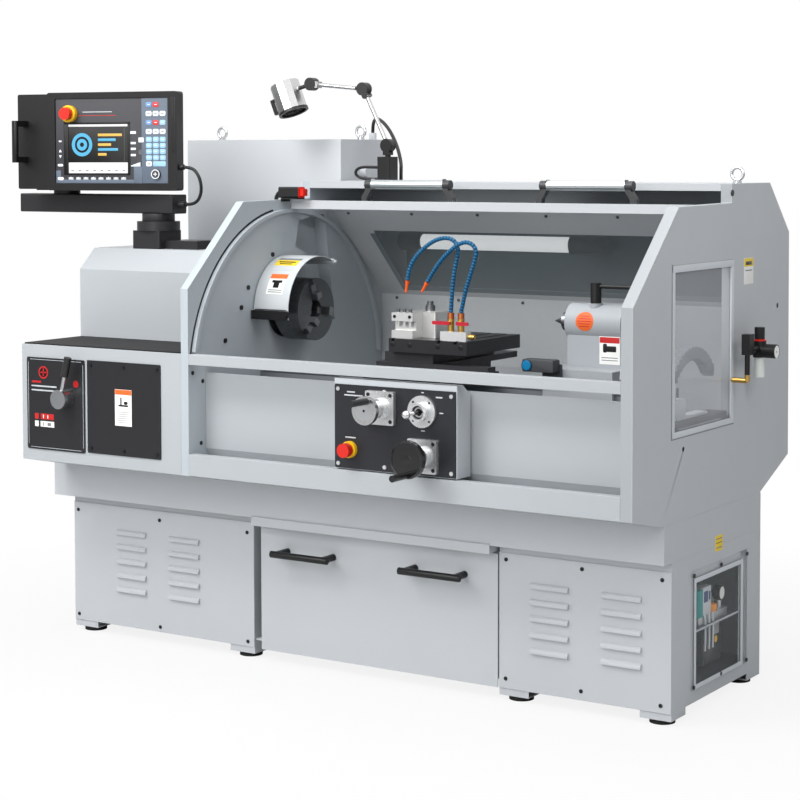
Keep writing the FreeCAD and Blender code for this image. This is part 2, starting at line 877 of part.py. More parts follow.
def belt_outline(big, small, big_radius, small_radius, x):
    """Band tangent to two circles, as one solid."""
    a = vector(0, *big)
    b = vector(0, *small)
    way = b - a
    distance = way.Length
    lean = math.asin((big_radius - small_radius) / distance)
    heading = math.atan2(way.z, way.y)
    corners = []
    for side in (1, -1):
        turn = heading + side * (math.pi / 2 - lean)
        corners.append(((big[0] + big_radius * math.cos(turn), big[1] + big_radius * math.sin(turn)),
                        (small[0] + small_radius * math.cos(turn),
                         small[1] + small_radius * math.sin(turn))))
    web = prism_x([corners[0][0], corners[0][1], corners[1][1], corners[1][0]], x)
    length = x[1] - x[0]
    return join([web, rod((x[0], *big), (1, 0, 0), big_radius, length),
                 rod((x[0], *small), (1, 0, 0), small_radius, length)])


def make_drive_belt():
    big = (spindle_depth, spindle_height)
    x = (spindle_tail + 3, spindle_tail + pulley_width - 8)
    outer = belt_outline(big, motor_axis, spindle_pulley_radius + seat_gap + belt_thick,
                         motor_pulley_radius + seat_gap + belt_thick, x)
    wide = (x[0] - 1, x[1] + 1)
    inner = belt_outline(big, motor_axis, spindle_pulley_radius + seat_gap,
                         motor_pulley_radius + seat_gap, wide)
    return outer.cut(inner)


# Enclosure
def make_front_frame():
    """Lower and upper rails, the set-back panel between them and the sloping underside."""
    lower = block(bay, (machine_front, rail_back_face), (lower_rail_bottom, lower_rail_top))
    lower = lower.cut(block((bay[0] - 1, bay[1] + 1), (machine_front + sheet, rail_back_face - sheet),
                            (lower_rail_bottom + sheet, lower_rail_top - sheet)))
    upper = block(bay, (machine_front, rail_back_face), (upper_rail_bottom, upper_rail_top))
    upper = upper.cut(block((bay[0] - 1, bay[1] + 1), (machine_front + sheet, rail_back_face - sheet),
                            (upper_rail_bottom + sheet, upper_rail_top - sheet)))
    recess = folded_sheet([(recess_front, 856.0), (recess_front, 638.0), (recess_front + 14, 616.0),
                           (rail_back_face, lower_rail_top - 12)], sheet, bay)
    recess = recess.fuse(block(bay, (rail_back_face - 0.5, rail_back_face + 3),
                               (lower_rail_top - 20, lower_rail_top - 9)))
    under = folded_sheet([(machine_front, lower_rail_bottom), (-59.0, plinth_top + 1)], sheet, bay)
    floor_lip = block(bay, (-62.0, -40.0), (plinth_top, plinth_top + sheet))
    return group([join([lower, recess, under, floor_lip]), upper])


recess_pocket = [(290.0, 1200.0), (345.0, 1180.0), (385.0, 1000.0), (500.0, 963.0), (445.0, 1297.0),
                 (311.0, 1280.0)]
recess_pocket_depth = 45.0


def make_left_wall():
    wall = hollow_wall((wall_left, bay_left), "left")
    y, z = spindle_depth, spindle_height
    wall = wall.cut(rod((wall_left - 5, y, z), (1, 0, 0), chuck_back_radius + 12, left_wall_width + 10))
    wall = wall.cut(prism_x(recess_pocket, (wall_left - 5, bay_left + 5)))
    tray = prism_x([(y0, z0) for y0, z0 in inset(recess_pocket, -sheet)],
                   (bay_left - recess_pocket_depth, bay_left - sheet))
    tray = tray.cut(prism_x(recess_pocket, (bay_left - recess_pocket_depth + sheet, bay_left + 1)))
    track = door_track((bay_left, bay_left + track_width))
    pin = rod((bay_left, *guard_hinge), (1, 0, 0), guard_pin_radius, guard_width + 12)
    boss = rod((bay_left, *guard_hinge), (1, 0, 0), guard_pin_radius + 5, 3.6)
    return join([wall, tray, track, pin, boss])


def door_track(x):
    """Curved bar that the rolling door rests on."""
    rise = upper_rail_top + track_rail_gap - door_axis[1]
    front_angle = 180 - math.degrees(math.asin(rise / track_outer_radius))
    return arc_band(door_axis, track_inner_radius, track_outer_radius, track_back_angle, front_angle, x)


def make_right_wall():
    wall = hollow_wall((bay_right, 0.0), "closed")
    y = (end_window[0], end_window[1])
    z = end_window_levels
    rim = block((bay_right, 0.0), (y[0] - sheet, y[1] + sheet), (z[0] - sheet, z[1] + sheet))
    wall = wall.fuse(rim)
    wall = wall.cut(block((bay_right - 1, 1.0), (y[0] + 8, y[1] - 8), (z[0] + 8, z[1] - 8)))
    wall = wall.cut(block((-8.0, 1.0), y, z))
    for hole in ((68.0, 714.0), (695.0, 1048.0)):
        wall = wall.cut(rod((-sheet - 1, *hole), (1, 0, 0), 7.0, sheet + 2))
    track = door_track((bay_right - track_width, bay_right))
    return join([wall, track])


def splash_frame():
    """Unit vectors along and across the sloping part of the splash plate."""
    run = (splash_bend[0] - splash_top[0], splash_bend[1] - splash_top[1])
    length = math.hypot(*run)
    return (run[0] / length, run[1] / length), unit_left(splash_top, splash_bend)


def splash_point(along, across):
    way, normal = splash_frame()
    return (splash_top[0] + along * way[0] + across * normal[0],
            splash_top[1] + along * way[1] + across * normal[1])


def slope_block(along, across, x):
    """Block lying on the slope of the splash plate."""
    corners = [splash_point(along[0], across[0]), splash_point(along[1], across[0]),
               splash_point(along[1], across[1]), splash_point(along[0], across[1])]
    return prism_x(corners, x)


window_span = (light_window_start, light_window_start + light_window_width)


def make_splash_plate():
    plate = folded_sheet([splash_top, splash_bend, (splash_bend[0], splash_bottom)], sheet, bay)
    return plate.cut(slope_block(window_span, (-10.0, 10.0), light_window))


def make_clear_windows():
    """Pane behind the splash plate, pane in the right wall and pane over the lubricator."""
    rear = slope_block((window_span[0] - 15, window_span[1] + 15), (sheet, sheet + 3.0),
                       (light_window[0] - 15, light_window[1] + 10))
    y, z = end_window, end_window_levels
    end = block((-8.0, -8.0 + pane_thick), (y[0] + seat_gap, y[1] - seat_gap),
                (z[0] + seat_gap, z[1] - seat_gap))
    lube = block((0.0, pane_thick), lube_pane, lube_pane_levels)
    return group([rear, end, lube])


def make_rear_cover():
    """Folded roof and back of the enclosure."""
    outline = [(roof_front, roof_height - roof_lip), (roof_front, roof_height), (roof_back, roof_height),
               (cover_back, roof_height - roof_slope), (cover_back, back_bottom),
               (pedestal_depth - 7, plinth_top)]
    return group([folded_sheet(outline, -sheet, bay), make_splash_plate()])


def make_work_light():
    y, z = light_depth, light_level
    pieces = [rod((light_tube[0], y, z), (1, 0, 0), light_tube_radius, light_tube[1] - light_tube[0]),
              rod((light_cap_ends[0], y, z), (1, 0, 0), light_cap_radius,
                  light_tube[0] - light_cap_ends[0]),
              rod((light_tube[1], y, z), (1, 0, 0), light_cap_radius, light_cap_ends[1] - light_tube[1])]
    for x in (light_cap_ends[0] + 20, light_cap_ends[1] - 50):
        pieces.append(block((x, x + 30), (y, cover_back - sheet), (z - 12, z + 12)))
    return join(pieces)


def make_door_pane():
    x = (bay_left + door_side_gap, bay_right - door_side_gap)
    return arc_band(door_axis, door_inner_radius, door_inner_radius + door_sheet, door_back_angle, 90.0, x)


def make_door_rail():
    """Front rail of the door with two grips on brackets."""
    y, z = door_axis
    x = (bay_left + door_side_gap, bay_right - door_side_gap)
    rail = block(x, (y + rail_front, y + rail_back), (z + rail_bottom_radius, z + rail_top_radius))
    rail = rail.cut(block((x[0] - 1, x[1] + 1), (y + 3, y + rail_back - 3),
                          (z + rail_bottom_radius + 10, z + rail_top_radius - 3)))
    groove = arc_band(door_axis, door_inner_radius, door_inner_radius + door_sheet, 60.0, 90.0, x)
    pieces = [rail.cut(groove)]
    top = z + rail_top_radius
    grip_y = y + door_handle_offset
    for start, end in door_handles:
        pieces.append(rod((start + 12, grip_y, top + door_handle_stand), (1, 0, 0), door_handle_radius,
                          end - start - 24))
        for near, far in ((start, start + door_bracket_width), (end - door_bracket_width, end)):
            inner = far if near == start else near
            outer = near if near == start else far
            high = top + door_handle_stand
            bracket = prism_y([(outer, top), (outer, top + 12), (inner, high + door_handle_radius + 3),
                               (inner, high - door_handle_radius), (outer + 0.55 * (inner - outer),
                                                                    top + 10),
                               (outer + 0.55 * (inner - outer), top)],
                              (grip_y - 10, grip_y + 10))
            pieces.append(bracket)
    return join(pieces)


def make_electrical_cabinet():
    """Cabinet on the back of the headstock cover, with a gland on its right side."""
    y0 = pedestal_depth
    y1 = y0 + cabinet_depth
    body = block((cabinet_left, cabinet_right), (y0, y1), (cabinet_bottom, cabinet_top))
    body = body.cut(block((cabinet_left + sheet, cabinet_right - sheet), (y0 + sheet, y1 - sheet),
                          (cabinet_bottom + sheet, cabinet_top - sheet)))
    door = block((cabinet_left + 20, cabinet_right - 20), (y1, y1 + 16),
                 (cabinet_bottom + 20, cabinet_top - 20))
    latch = rod(((cabinet_right - 60), y1 + 16, (cabinet_bottom + cabinet_top) / 2), (0, 1, 0), 14.0, 10.0)
    gland = rod((cabinet_right, 705.0, 1424.0), (1, 0, 0), 17.0, 24.0)
    plug = rod((cabinet_right - 22, 800.0, cabinet_top), (0, 0, 1), 12.0, 22.0)
    return group([join([body, gland, plug]), join([door, latch])])


# Fasteners and small fixed pieces
def lifting_eye(x, y, z):
    """Eye bolt: collar, neck and ring."""
    ring = Part.makeTorus(17.0, 4.5, vector(x, y, z + 26.0), vector(0, 1, 0))
    collar = rod((x, y, z), (0, 0, 1), 12.0, 6.0)
    neck = rod((x, y, z + 5), (0, 0, 1), 6.0, 6.0)
    return join([collar, neck, ring])


def make_case_fasteners():
    """Eye bolts and the screws that show on the casing."""
    pieces = []
    for place in ((-2006.0, 724.0, cabinet_top), (-1454.0, 740.0, cabinet_top),
                  (-20.0, 450.0, roof_height)):
        pieces.append(lifting_eye(*place))
    way, normal = splash_frame()
    screw_axis = (0, -normal[0], -normal[1])
    for index in range(6):
        x = splash_screw_start + index * splash_screw_pitch
        if x < bay_right - 20:
            pieces.append(rod((x, *splash_point(52.0, 0.0)), screw_axis, 5.0, 2.5))
            pieces.append(rod((x, splash_bend[0], splash_bend[1] - 12), (0, -1, 0), 5.0, 2.5))
    for y, z in ((17.6, 1031.2), (52.0, 1088.1), (173.0, 1180.4), (-60.0, 940.0)):
        pieces.append(rod((bay_left, y, z), (1, 0, 0), 7.0, wall_bolt_height))
    for x in (cover_plate[0] + 14, (cover_plate[0] + cover_plate[1]) / 2, cover_plate[1] - 14):
        for z in (cover_plate_levels[0] + 14, cover_plate_levels[1] - 14):
            pieces.append(rod((x, machine_front - 3.0, z), (0, -1, 0), 5.5, 3.0))
    for y in (lube_pane[0] + 12, (lube_pane[0] + lube_pane[1]) / 2, lube_pane[1] - 12):
        for z in (lube_pane_levels[0] + 4.0 + 5, lube_pane_levels[1] - 12):
            pieces.append(rod((pane_thick, y, z), (1, 0, 0), 5.5, 3.0))
    return group(pieces)


def make_interlock_switch():
    """Switch body on an angle bracket, with its key at the right end."""
    y = door_axis[0]
    base = roof_height - roof_step + switch_rise
    right = bay_left + switch_length
    bracket = block((bay_left, right - 2), (y - 46, y - 6), (base - switch_bracket, base))
    upright = block((bay_left, bay_left + 6), (y - 46, y - 6), (base - switch_bracket - 7, base))
    body = rounded(block((bay_left - 12, right), (y - 42, y - 8), (base, base + switch_height)), 5.0,
                   (1, 0, 0))
    key = block((right, right + 14), (y - 36, y - 14), (base + switch_key[0], base + switch_key[1]))
    return join([bracket, upright, body, key])


def make_air_regulator():
    """Bracket, valve, regulator body, bowl, gauge and its adjusting knob."""
    x, y = regulator_place
    body = rod((x, y, regulator_body_level), (0, 0, 1), regulator_body_radius,
               regulator_knob_level - regulator_body_level)
    bowl = rod((x, y, regulator_bowl_level), (0, 0, 1), 15.0, regulator_body_level - regulator_bowl_level)
    knob = rod((x, y, regulator_knob_level), (0, 0, 1), 14.0, regulator_top - regulator_knob_level)
    gauge = rod((x, y, 940.0), (1, 0, 0), 20.0, 50.0)
    bracket = block((0.0, x), (y - 14, y + 14), (950.0, 968.0))
    port = rod((x, y - 96, 948.0), (0, 1, 0), 9.0, 96.0)
    valve = block((x - 12, x + 12), (y - 96, y - 66), (936.0, 992.0))
    elbow = rod((x, y - 84, 864.0), (0, 0, 1), 7.0, 76.0)
    inlet = rod((0.0, y - 84, 866.0), (1, 0, 0), 7.0, x)
    return join([body, bowl, knob, gauge, bracket, port, valve, elbow, inlet])


def make_lubricator():
    """Oil pump on the shelf of the right pedestal, with its reservoir below."""
    shelf_top = lube_shelf_level + lube_shelf_thick
    pump = block((-110.0, -50.0), (190.0, 400.0), (shelf_top, shelf_top + 28))
    cap = rod((-60.0, 314.0, shelf_top + 28), (0, 0, 1), 16.0, 14.0)
    head = block((-100.0, -55.0), (200.0, 292.0), (shelf_top + 28, shelf_top + 92))
    gauge = rod((-80.0, 383.0, 262.0), (1, 0, 0), 20.0, 24.0)
    gauge_post = rod((-70.0, 383.0, shelf_top + 27), (0, 0, 1), 5.0, 12.0)
    tank = rounded(block((-120.0, -40.0), (293.0, 410.0), (93.0, lube_shelf_level)), 10.0, (0, 0, 1))
    return group([join([pump, cap, head, gauge, gauge_post]), tank])


# Carriage
def make_saddle():
    """Saddle on the ways, its slide base and the arm out to the control box."""
    plate = block((saddle_left, saddle_right), (saddle_front, saddle_back), (bed_top + 40, saddle_top))
    shoes = block((saddle_left, saddle_right), (bed_front, bed_back), (bed_top + seat_gap, bed_top + 41))
    keep = [block((saddle_left, saddle_right), (bed_front - 14 - seat_gap, bed_front - seat_gap),
                  (bed_top - 60, bed_top + 41)),
            block((saddle_left, saddle_right), (bed_back + seat_gap, bed_back + 14 + seat_gap),
                  (bed_top - 60, bed_top + 41))]
    base = block((slide_base_left, slide_base_right), (cross_front + 20, cross_back + 60),
                 (saddle_top, slide_base_top))
    arm = prism_x([(saddle_front, arm_top), (saddle_front, arm_bottom), (control_back, arm_bottom),
                   (control_back, control_back_top), (control_front + 29, control_top),
                   (control_front + 29, arm_top)], (-820.0, -580.0))
    skirt = block((-820.0, -580.0), (saddle_front, saddle_front + 60), (arm_bottom, arm_top))
    web = block((saddle_left, -580.0), (saddle_front, saddle_front + 40), (arm_bottom, saddle_top))
    return join([plate, shoes, base, arm, skirt, web] + keep)


def make_control_box():
    """Hollow box with its front plate, bearing flanges, joystick housing and stop collar."""
    outline = [(control_front, control_bottom), (control_back, control_bottom),
               (control_back, control_back_top),
               (control_front + 29, control_top), (control_front, control_top)]
    box = prism_x(outline, (control_left, control_right))
    box = box.cut(prism_x(inset(outline, sheet), (control_left + sheet, control_right - sheet)))
    face = control_front - control_plate_thick
    plate = rounded(block((control_left + 2, control_right - 3), (face, control_front),
                          (control_bottom + 2, control_top - 16)), 4.0, (0, 1, 0))
    pieces = [plate]
    for (x, z) in (silver_wheel, black_wheel):
        flange = block((x - flange_side / 2, x + flange_side / 2), (face - flange_thick, face),
                       (z - flange_side / 2, z + flange_side / 2))
        pieces.append(rounded(flange, 5.0, (0, 1, 0)))
        pieces.append(rod((x, face - flange_thick - 16, z), (0, 1, 0), 26.0, 16.0))
    jx, jz = joystick_centre
    pieces.append(rod((jx, face - 8, jz), (0, 1, 0), joystick_plate_radius, 8.0))
    pieces.append(rod((jx, face - 26, jz), (0, 1, 0), 25.0, 20.0))
    sx, sz = stop_centre
    pieces.append(rod((sx, face - 12, sz), (0, 1, 0), stop_collar_radius, 12.0))
    whole = join([box] + pieces)
    for (x, z) in (silver_wheel, black_wheel):
        whole = whole.cut(rod((x, face - 40, z), (0, 1, 0), crank_shaft_radius + pin_gap, 60.0))
    whole = whole.cut(rod((jx, face - 27, jz), (0, 1, 0), 18.0, 40.0))
    whole = whole.cut(rod((jx - 23.0, face - 16, jz), (1, 0, 0), 2.0 + pin_gap, 46.0))
    whole = whole.cut(rod((sx, face - 13, sz), (0, 1, 0), stop_stem_radius + pin_gap, 30.0))
    screws = []
    for x in (control_left + 14, (control_left + control_right) / 2 - 30, control_right - 15):
        for z in (control_bottom + 14, control_top - 28):
            screws.append(rod((x, face - 3.0, z), (0, 1, 0), 5.5, 3.0))
    return join([whole] + screws)


def hand_wheel(centre, radius, grip_length, throw, angle):
    """Turned wheel with a shaft into its flange and an offset grip."""
    x, z = centre
    face = control_front - control_plate_thick
    flange_face = face - flange_thick - 16 - seat_gap
    front = face - wheel_stand
    hub = rod((x, front, z), (0, 1, 0), wheel_hub_radius, flange_face - front)
    wheel = rod((x, front - wheel_thick / 2, z), (0, 1, 0), radius, wheel_thick)
    shaft = rod((x, front, z), (0, 1, 0), crank_shaft_radius, flange_face - front + 30)
    gx = x + throw * math.cos(math.radians(angle))
    gz = z + throw * math.sin(math.radians(angle))
    grip = rod((gx, front - wheel_thick / 2 - grip_length, gz), (0, 1, 0), grip_radius, grip_length + 2)
    return join([hub, wheel, shaft, grip])


def make_handwheel_z():
    return hand_wheel(silver_wheel, silver_wheel_radius, silver_grip_length, silver_grip_throw,
                      silver_grip_angle)


def make_handwheel_x():
    return hand_wheel(black_wheel, black_wheel_radius, black_grip_length, black_grip_throw,
                      black_grip_angle)


gimbal_depth = control_front - control_plate_thick - 16


def make_joystick_gimbal():
    x, z = joystick_centre
    ring_body = pipe((x, gimbal_depth - 3, z), (0, 1, 0), 14.0, 9.5, 6.0)
    pins = [rod((x - 22.0, gimbal_depth, z), (1, 0, 0), 2.0, 10.0),
            rod((x + 12.0, gimbal_depth, z), (1, 0, 0), 2.0, 10.0)]
    ring_body = join([ring_body] + pins)
    return ring_body.cut(rod((x, gimbal_depth, z - 15), (0, 0, 1), 1.5 + pin_gap, 30.0))


def make_joystick():
    x, z = joystick_centre
    face = control_front - control_plate_thick
    stick = rod((x, face - joystick_length, z), (0, 1, 0), joystick_rod_radius, joystick_length - 10)
    ball = Part.makeSphere(joystick_ball_radius, vector(x, face - joystick_length, z))
    pin = rod((x, gimbal_depth, z - 13), (0, 0, 1), 1.5, 26.0)
    return join([stick, ball, pin])


def make_control_stop():
    x, z = stop_centre
    face = control_front - control_plate_thick
    head = rod((x, face - stop_stand, z), (0, 1, 0), stop_head_radius,
               stop_stand - 12 - stop_travel - seat_gap)
    stem = rod((x, face - stop_stand + 4, z), (0, 1, 0), stop_stem_radius, stop_stand - 4)
    return join([head, stem])


# Cross slide
def make_cross_slide():
    """Slide plate with its tee slots and the tool holder block on its left."""
    top = cross_bottom + cross_thick
    plate = block((cross_left, cross_right), (cross_front, cross_back), (cross_bottom, top))
    for x in (cross_left + 14, cross_right - 90, cross_right - 36):
        plate = plate.cut(block((x - 5, x + 5), (cross_front - 1, cross_back + 1), (top - 8, top + 1)))
    gib = block((slide_base_left + 40, slide_base_right - 30), (cross_front + 30, cross_back),
                (slide_base_top + seat_gap, cross_bottom))
    x, y = post_centre
    stud = rod((x, y, top - 12), (0, 0, 1), 12.0, 36.0)
    return join([plate, gib, stud])


def make_tool_post():
    """Tool post turret with its holder, clamp screws and a nut on the central stud."""
    top = cross_bottom + cross_thick + seat_gap
    x, y = post_centre
    turret = rounded(block((x - post_half, x + post_half), (y - post_half, y + post_half),
                           (top, top + post_height)),
                     6.0, (0, 0, 1))
    stud = rod((x, y, top + post_height), (0, 0, 1), post_stud_radius, 16.0)
    nut = rod((x, y, top + post_height + 14), (0, 0, 1), 9.0, 14.0)
    holder = block((holder_left, holder_right), (holder_front, y - post_half + 1),
                   (top, top + holder_height))
    holder = holder.cut(block((holder_left - 1, holder_right + 1),
                              (holder_front - 1, holder_front + 20), (top + 22, top + 48)))
    pieces = [turret, stud, nut, holder]
    for offset in (16.0, 36.0, 56.0):
        pieces.append(rod((holder_left + offset, holder_front + 12, top + holder_height), (0, 0, 1),
                          5.0, 10.0))
        pieces.append(rod((holder_left + offset, holder_front + 12, top + 34), (0, 0, 1), 5.0,
                          holder_height - 34))
    post = join(pieces)
    return post.cut(rod((x, y, top - 1), (0, 0, 1), 12.0 + pin_gap, 30.0))


def make_coolant_manifold():
    """Manifold block with two ball-valve bodies and an inlet fitting."""
    base = cross_bottom + cross_thick
    y = (manifold_front + manifold_back) / 2
    body = rounded(block((manifold_left, manifold_right), (manifold_front, manifold_back),
                         (base, base + manifold_height)),
                   3.0, (0, 0, 1))
    pieces = [body, rod((manifold_right, y, base + 12), (1, 0, 0), 7.0, 20.0)]
    for x in valve_places:
        pieces.append(rod((x, y, base + manifold_height), (0, 0, 1), valve_radius, valve_height))
        pieces.append(rod((x, y - valve_radius - 6, base + manifold_height + 24), (0, 1, 0), 6.0, 12.0))
    whole = join(pieces)
    for x in valve_places:
        whole = whole.cut(rod((x, y - valve_radius - 7, base + manifold_height + 24), (0, 1, 0),
                              2.5 + pin_gap, 14.0))
    return whole


def make_valve_lever(x, reach):
    """Pin and flat handle of a valve, level at rest and pointing to the side of its reach."""
    base = cross_bottom + cross_thick
    y = (manifold_front + manifold_back) / 2 - valve_radius - 6 - seat_gap
    z = base + manifold_height + 24
    spindle_pin = rod((x, y, z), (0, 1, 0), 2.5, 9.0)
    ends = sorted((x - math.copysign(lever_half + 1, reach), x + reach))
    blade = block(ends, (y - 4, y), (z - lever_half, z + lever_half))
    blade = rounded(blade, 4.0, (0, 1, 0))
    return join([spindle_pin, blade])


hose_leans = (0.0, -0.1)
hose_routes = (
    ((0, 0), (3, 40), (6, 78), (11, 114), (20, 150), (25, 176), (15, 197), (-7, 207), (-35, 205),
     (-65, 193),
     (-97, 170), (-124, 142), (-139, 111), (-143, 84)),
    ((0, 0), (11, 40), (24, 78), (39, 114), (54, 149), (60, 175), (46, 194), (22, 198), (-6, 186),
     (-35, 164),
     (-61, 140), (-85, 111), (-105, 82)),
)


def ribbed_hose(mouth, route, lean):
    """Jointed hose in a plane that leans forward: a groove and a rib for each link."""
    depth = (manifold_front + manifold_back) / 2
    level = cross_bottom + cross_thick + manifold_height + valve_height + hose_seat
    places = [vector(mouth + x, depth + lean * z, level + z) for x, z in route]
    curve = Part.BSplineCurve()
    curve.interpolate(places)
    length = curve.length()
    ribs = int(length / hose_pitch)
    step = length / ribs
    across = vector(0, 1, -lean).normalize() if lean else vector(0, 1, 0)
    share = (0.0, 0.22, 0.78)
    outer = []
    inner = []

    def ring_wire(distance, radius):
        u = curve.parameterAtDistance(min(distance, length), curve.FirstParameter)
        circle = Part.Circle(curve.value(u), curve.tangent(u)[0], radius)
        circle.XAxis = across
        return Part.Wire(circle.toShape())

    for rib in range(ribs):
        start = rib * step
        outer.append(ring_wire(start, hose_radius - hose_groove))
        outer.append(ring_wire(start + share[1] * step, hose_radius))
        outer.append(ring_wire(start + share[2] * step, hose_radius))
        inner.append(ring_wire(start, hose_bore))
    outer.append(ring_wire(length, hose_radius - hose_groove))
    inner.append(ring_wire(length, hose_bore))
    body = Part.makeLoft(outer, True, True)
    bore = Part.makeLoft(inner, True, True)
    end = curve.value(curve.LastParameter)
    way = curve.tangent(curve.LastParameter)[0]
    tip = end + way * nozzle_length
    nozzle = Part.makeCone(hose_radius, 3.4, nozzle_length, end, way)
    nozzle = nozzle.cut(Part.makeCylinder(2.0, nozzle_length + 2, end - way, way))
    print("hose length", round(length + nozzle_length), "links", ribs, "tip", round(tip.x), round(tip.z))
    return body.cut(bore), nozzle


def make_coolant_hoses():
    pieces = []
    for mouth, route, lean in zip(valve_places, hose_routes, hose_leans):
        pieces.extend(ribbed_hose(mouth, route, lean))
    return group(pieces)


# Tailstock
def make_tailstock():
    """Casting on the ways with a round barrel, bored for the quill."""
    y, z = spindle_depth, spindle_height
    x = (tail_left, tail_left + tail_length)
    barrel = rod((x[0], y, z), (1, 0, 0), tail_body_radius, tail_length)
    neck = block((x[0] + 4, x[1] - 4), (y - 40, y + 40), (bed_top + 60, z))
    foot = block((x[0] - 20, x[1] + 20), (bed_front - 12 - seat_gap, bed_back),
                 (bed_top + seat_gap, bed_top + 61))
    keys = [block((x[0] - 20, x[1] + 20), (bed_front - 12 - seat_gap, bed_front - seat_gap),
                  (bed_top - 40, bed_top + 61))]
    boss = rod((lock_post[0], lock_post[1], z), (0, 0, 1), lock_post_radius + 4, tail_body_radius + 2)
    solid = join([barrel, neck, foot, boss] + keys)
    solid = solid.cut(rod((x[0] - 1, y, z), (1, 0, 0), quill_radius + pin_gap, tail_length - 20))
    solid = solid.cut(rod((x[0], y, z), (1, 0, 0), tail_shaft_radius + pin_gap, tail_length + 40))
    post = rod((lock_post[0], lock_post[1], z + tail_body_radius - 20), (0, 0, 1), 6.0 + pin_gap, 60.0)
    post = post.cut(rod((x[0] - 1, y, z), (1, 0, 0), quill_radius + 2, tail_length + 2))
    return solid.cut(post)


def make_tail_quill():
    """Quill with a centre point, hollow behind for its screw."""
    y, z = spindle_depth, spindle_height
    tube = rod((tail_left - quill_stand, y, z), (1, 0, 0), quill_radius, quill_stand + tail_length - 24)
    tube = tube.cut(rod((tail_left + 20, y, z), (1, 0, 0), tail_shaft_radius + 2, tail_length))
    point = Part.makeCone(1.0, 14.0, 32.0, vector(tail_left - quill_stand - 32, y, z), vector(1, 0, 0))
    return join([tube, point])


def make_tail_wheel():
    """Rim, hub and three spokes on the screw's shaft."""
    y, z = spindle_depth, spindle_height
    x = tail_left + tail_length + tail_wheel_stand
    shaft = rod((tail_left + tail_length - 100, y, z), (1, 0, 0), tail_shaft_radius, tail_wheel_stand + 112)
    hub = rod((tail_left + tail_length + seat_gap, y, z), (1, 0, 0), 20.0, tail_wheel_stand + 12)
    rim = Part.makeTorus(tail_wheel_radius - 8, 8.0, vector(x, y, z), vector(1, 0, 0))
    pieces = [shaft, hub, rim]
    for index in range(3):
        spoke = rod((x, y, z), (0, 0, 1), 6.0, tail_wheel_radius - 8)
        spoke.rotate(vector(x, y, z), vector(1, 0, 0), 120.0 * index)
        pieces.append(spoke)
    grip = rod((x, y, z + tail_wheel_radius - 8), (1, 0, 0), 8.0, 50.0)
    return join(pieces + [grip])


def make_lock_lever():
    x, y = lock_post
    base = spindle_height + tail_body_radius + 2 + seat_gap
    post = rod((x, y, base), (0, 0, 1), lock_post_radius, lock_post_height - 5)
    pin = rod((x, y, base - 22), (0, 0, 1), 6.0, 24.0)
    handle = rod((x, y, base + lock_post_height - 14), (1, 0, 0), lock_rod_radius, lock_rod_length)
    return join([post, pin, handle])


# Pendant
def pivot_base():
    return cover_slope_top + pivot_block_height


def make_pendant_pivot():
    x, y = pivot_block
    block_body = rounded(block(x, y, (cover_slope_top, pivot_base())), 6.0, (0, 0, 1))
    bracket = block((x[1], x[1] + 125), (y[0] + 30, y[1] + 20), (cover_slope_top, cover_slope_top + 26))
    collar = rod((*pivot_centre, pivot_base()), (0, 0, 1), pivot_lower_radius, pivot_lower_height)
    pin = rod((*pivot_centre, pivot_base()), (0, 0, 1), pivot_pin_radius,
              pivot_lower_height + pivot_upper_height + 30)
    return join([block_body, bracket, collar, pin])


def pendant_arm_levels():
    bottom = pivot_base() + pivot_lower_height + pivot_upper_height
    return (bottom, bottom + pendant_arm_height)


def make_pendant_arm():
    low, high = pendant_arm_levels()
    beam = rounded(block((arm_left, arm_right), (arm_front, arm_back), (low, high)), 5.0, (1, 0, 0))
    beam = beam.cut(block((arm_left + 5, pivot_centre[0] - arm_hollow_gap), (arm_front + 5, arm_back - 5),
                          (low + 5, high - 5)))
    collar = rod((*pivot_centre, low - pivot_upper_height + seat_gap), (0, 0, 1), pivot_upper_radius,
                 pivot_upper_height)
    arm = join([beam, collar])
    arm = arm.cut(rod((*pivot_centre, low - 40), (0, 0, 1), pivot_pin_radius + pin_gap, 40 + 30 + seat_gap))
    swivel = rod((*swivel_place, high - 6), (0, 0, 1), swivel_pin_radius, 6 + swivel_height + 20)
    gland = rod((arm_right, (arm_front + arm_back) / 2, low + 29), (1, 0, 0), 10.0, 24.0)
    return join([arm, swivel, gland])


def pendant_bottom():
    return pendant_arm_levels()[1] + swivel_height


def in_pendant(shape):
    """Carry a shape from the pendant's own square frame to its place."""
    shape.rotate(vector(0, 0, 0), vector(0, 0, 1), pendant_turn)
    shape.translate(vector(*pendant_corner, pendant_bottom()))
    return shape


def pendant_place(x, y, z):
    turn = math.radians(pendant_turn)
    return (pendant_corner[0] + x * math.cos(turn) - y * math.sin(turn),
            pendant_corner[1] + x * math.sin(turn) + y * math.cos(turn), pendant_bottom() + z)


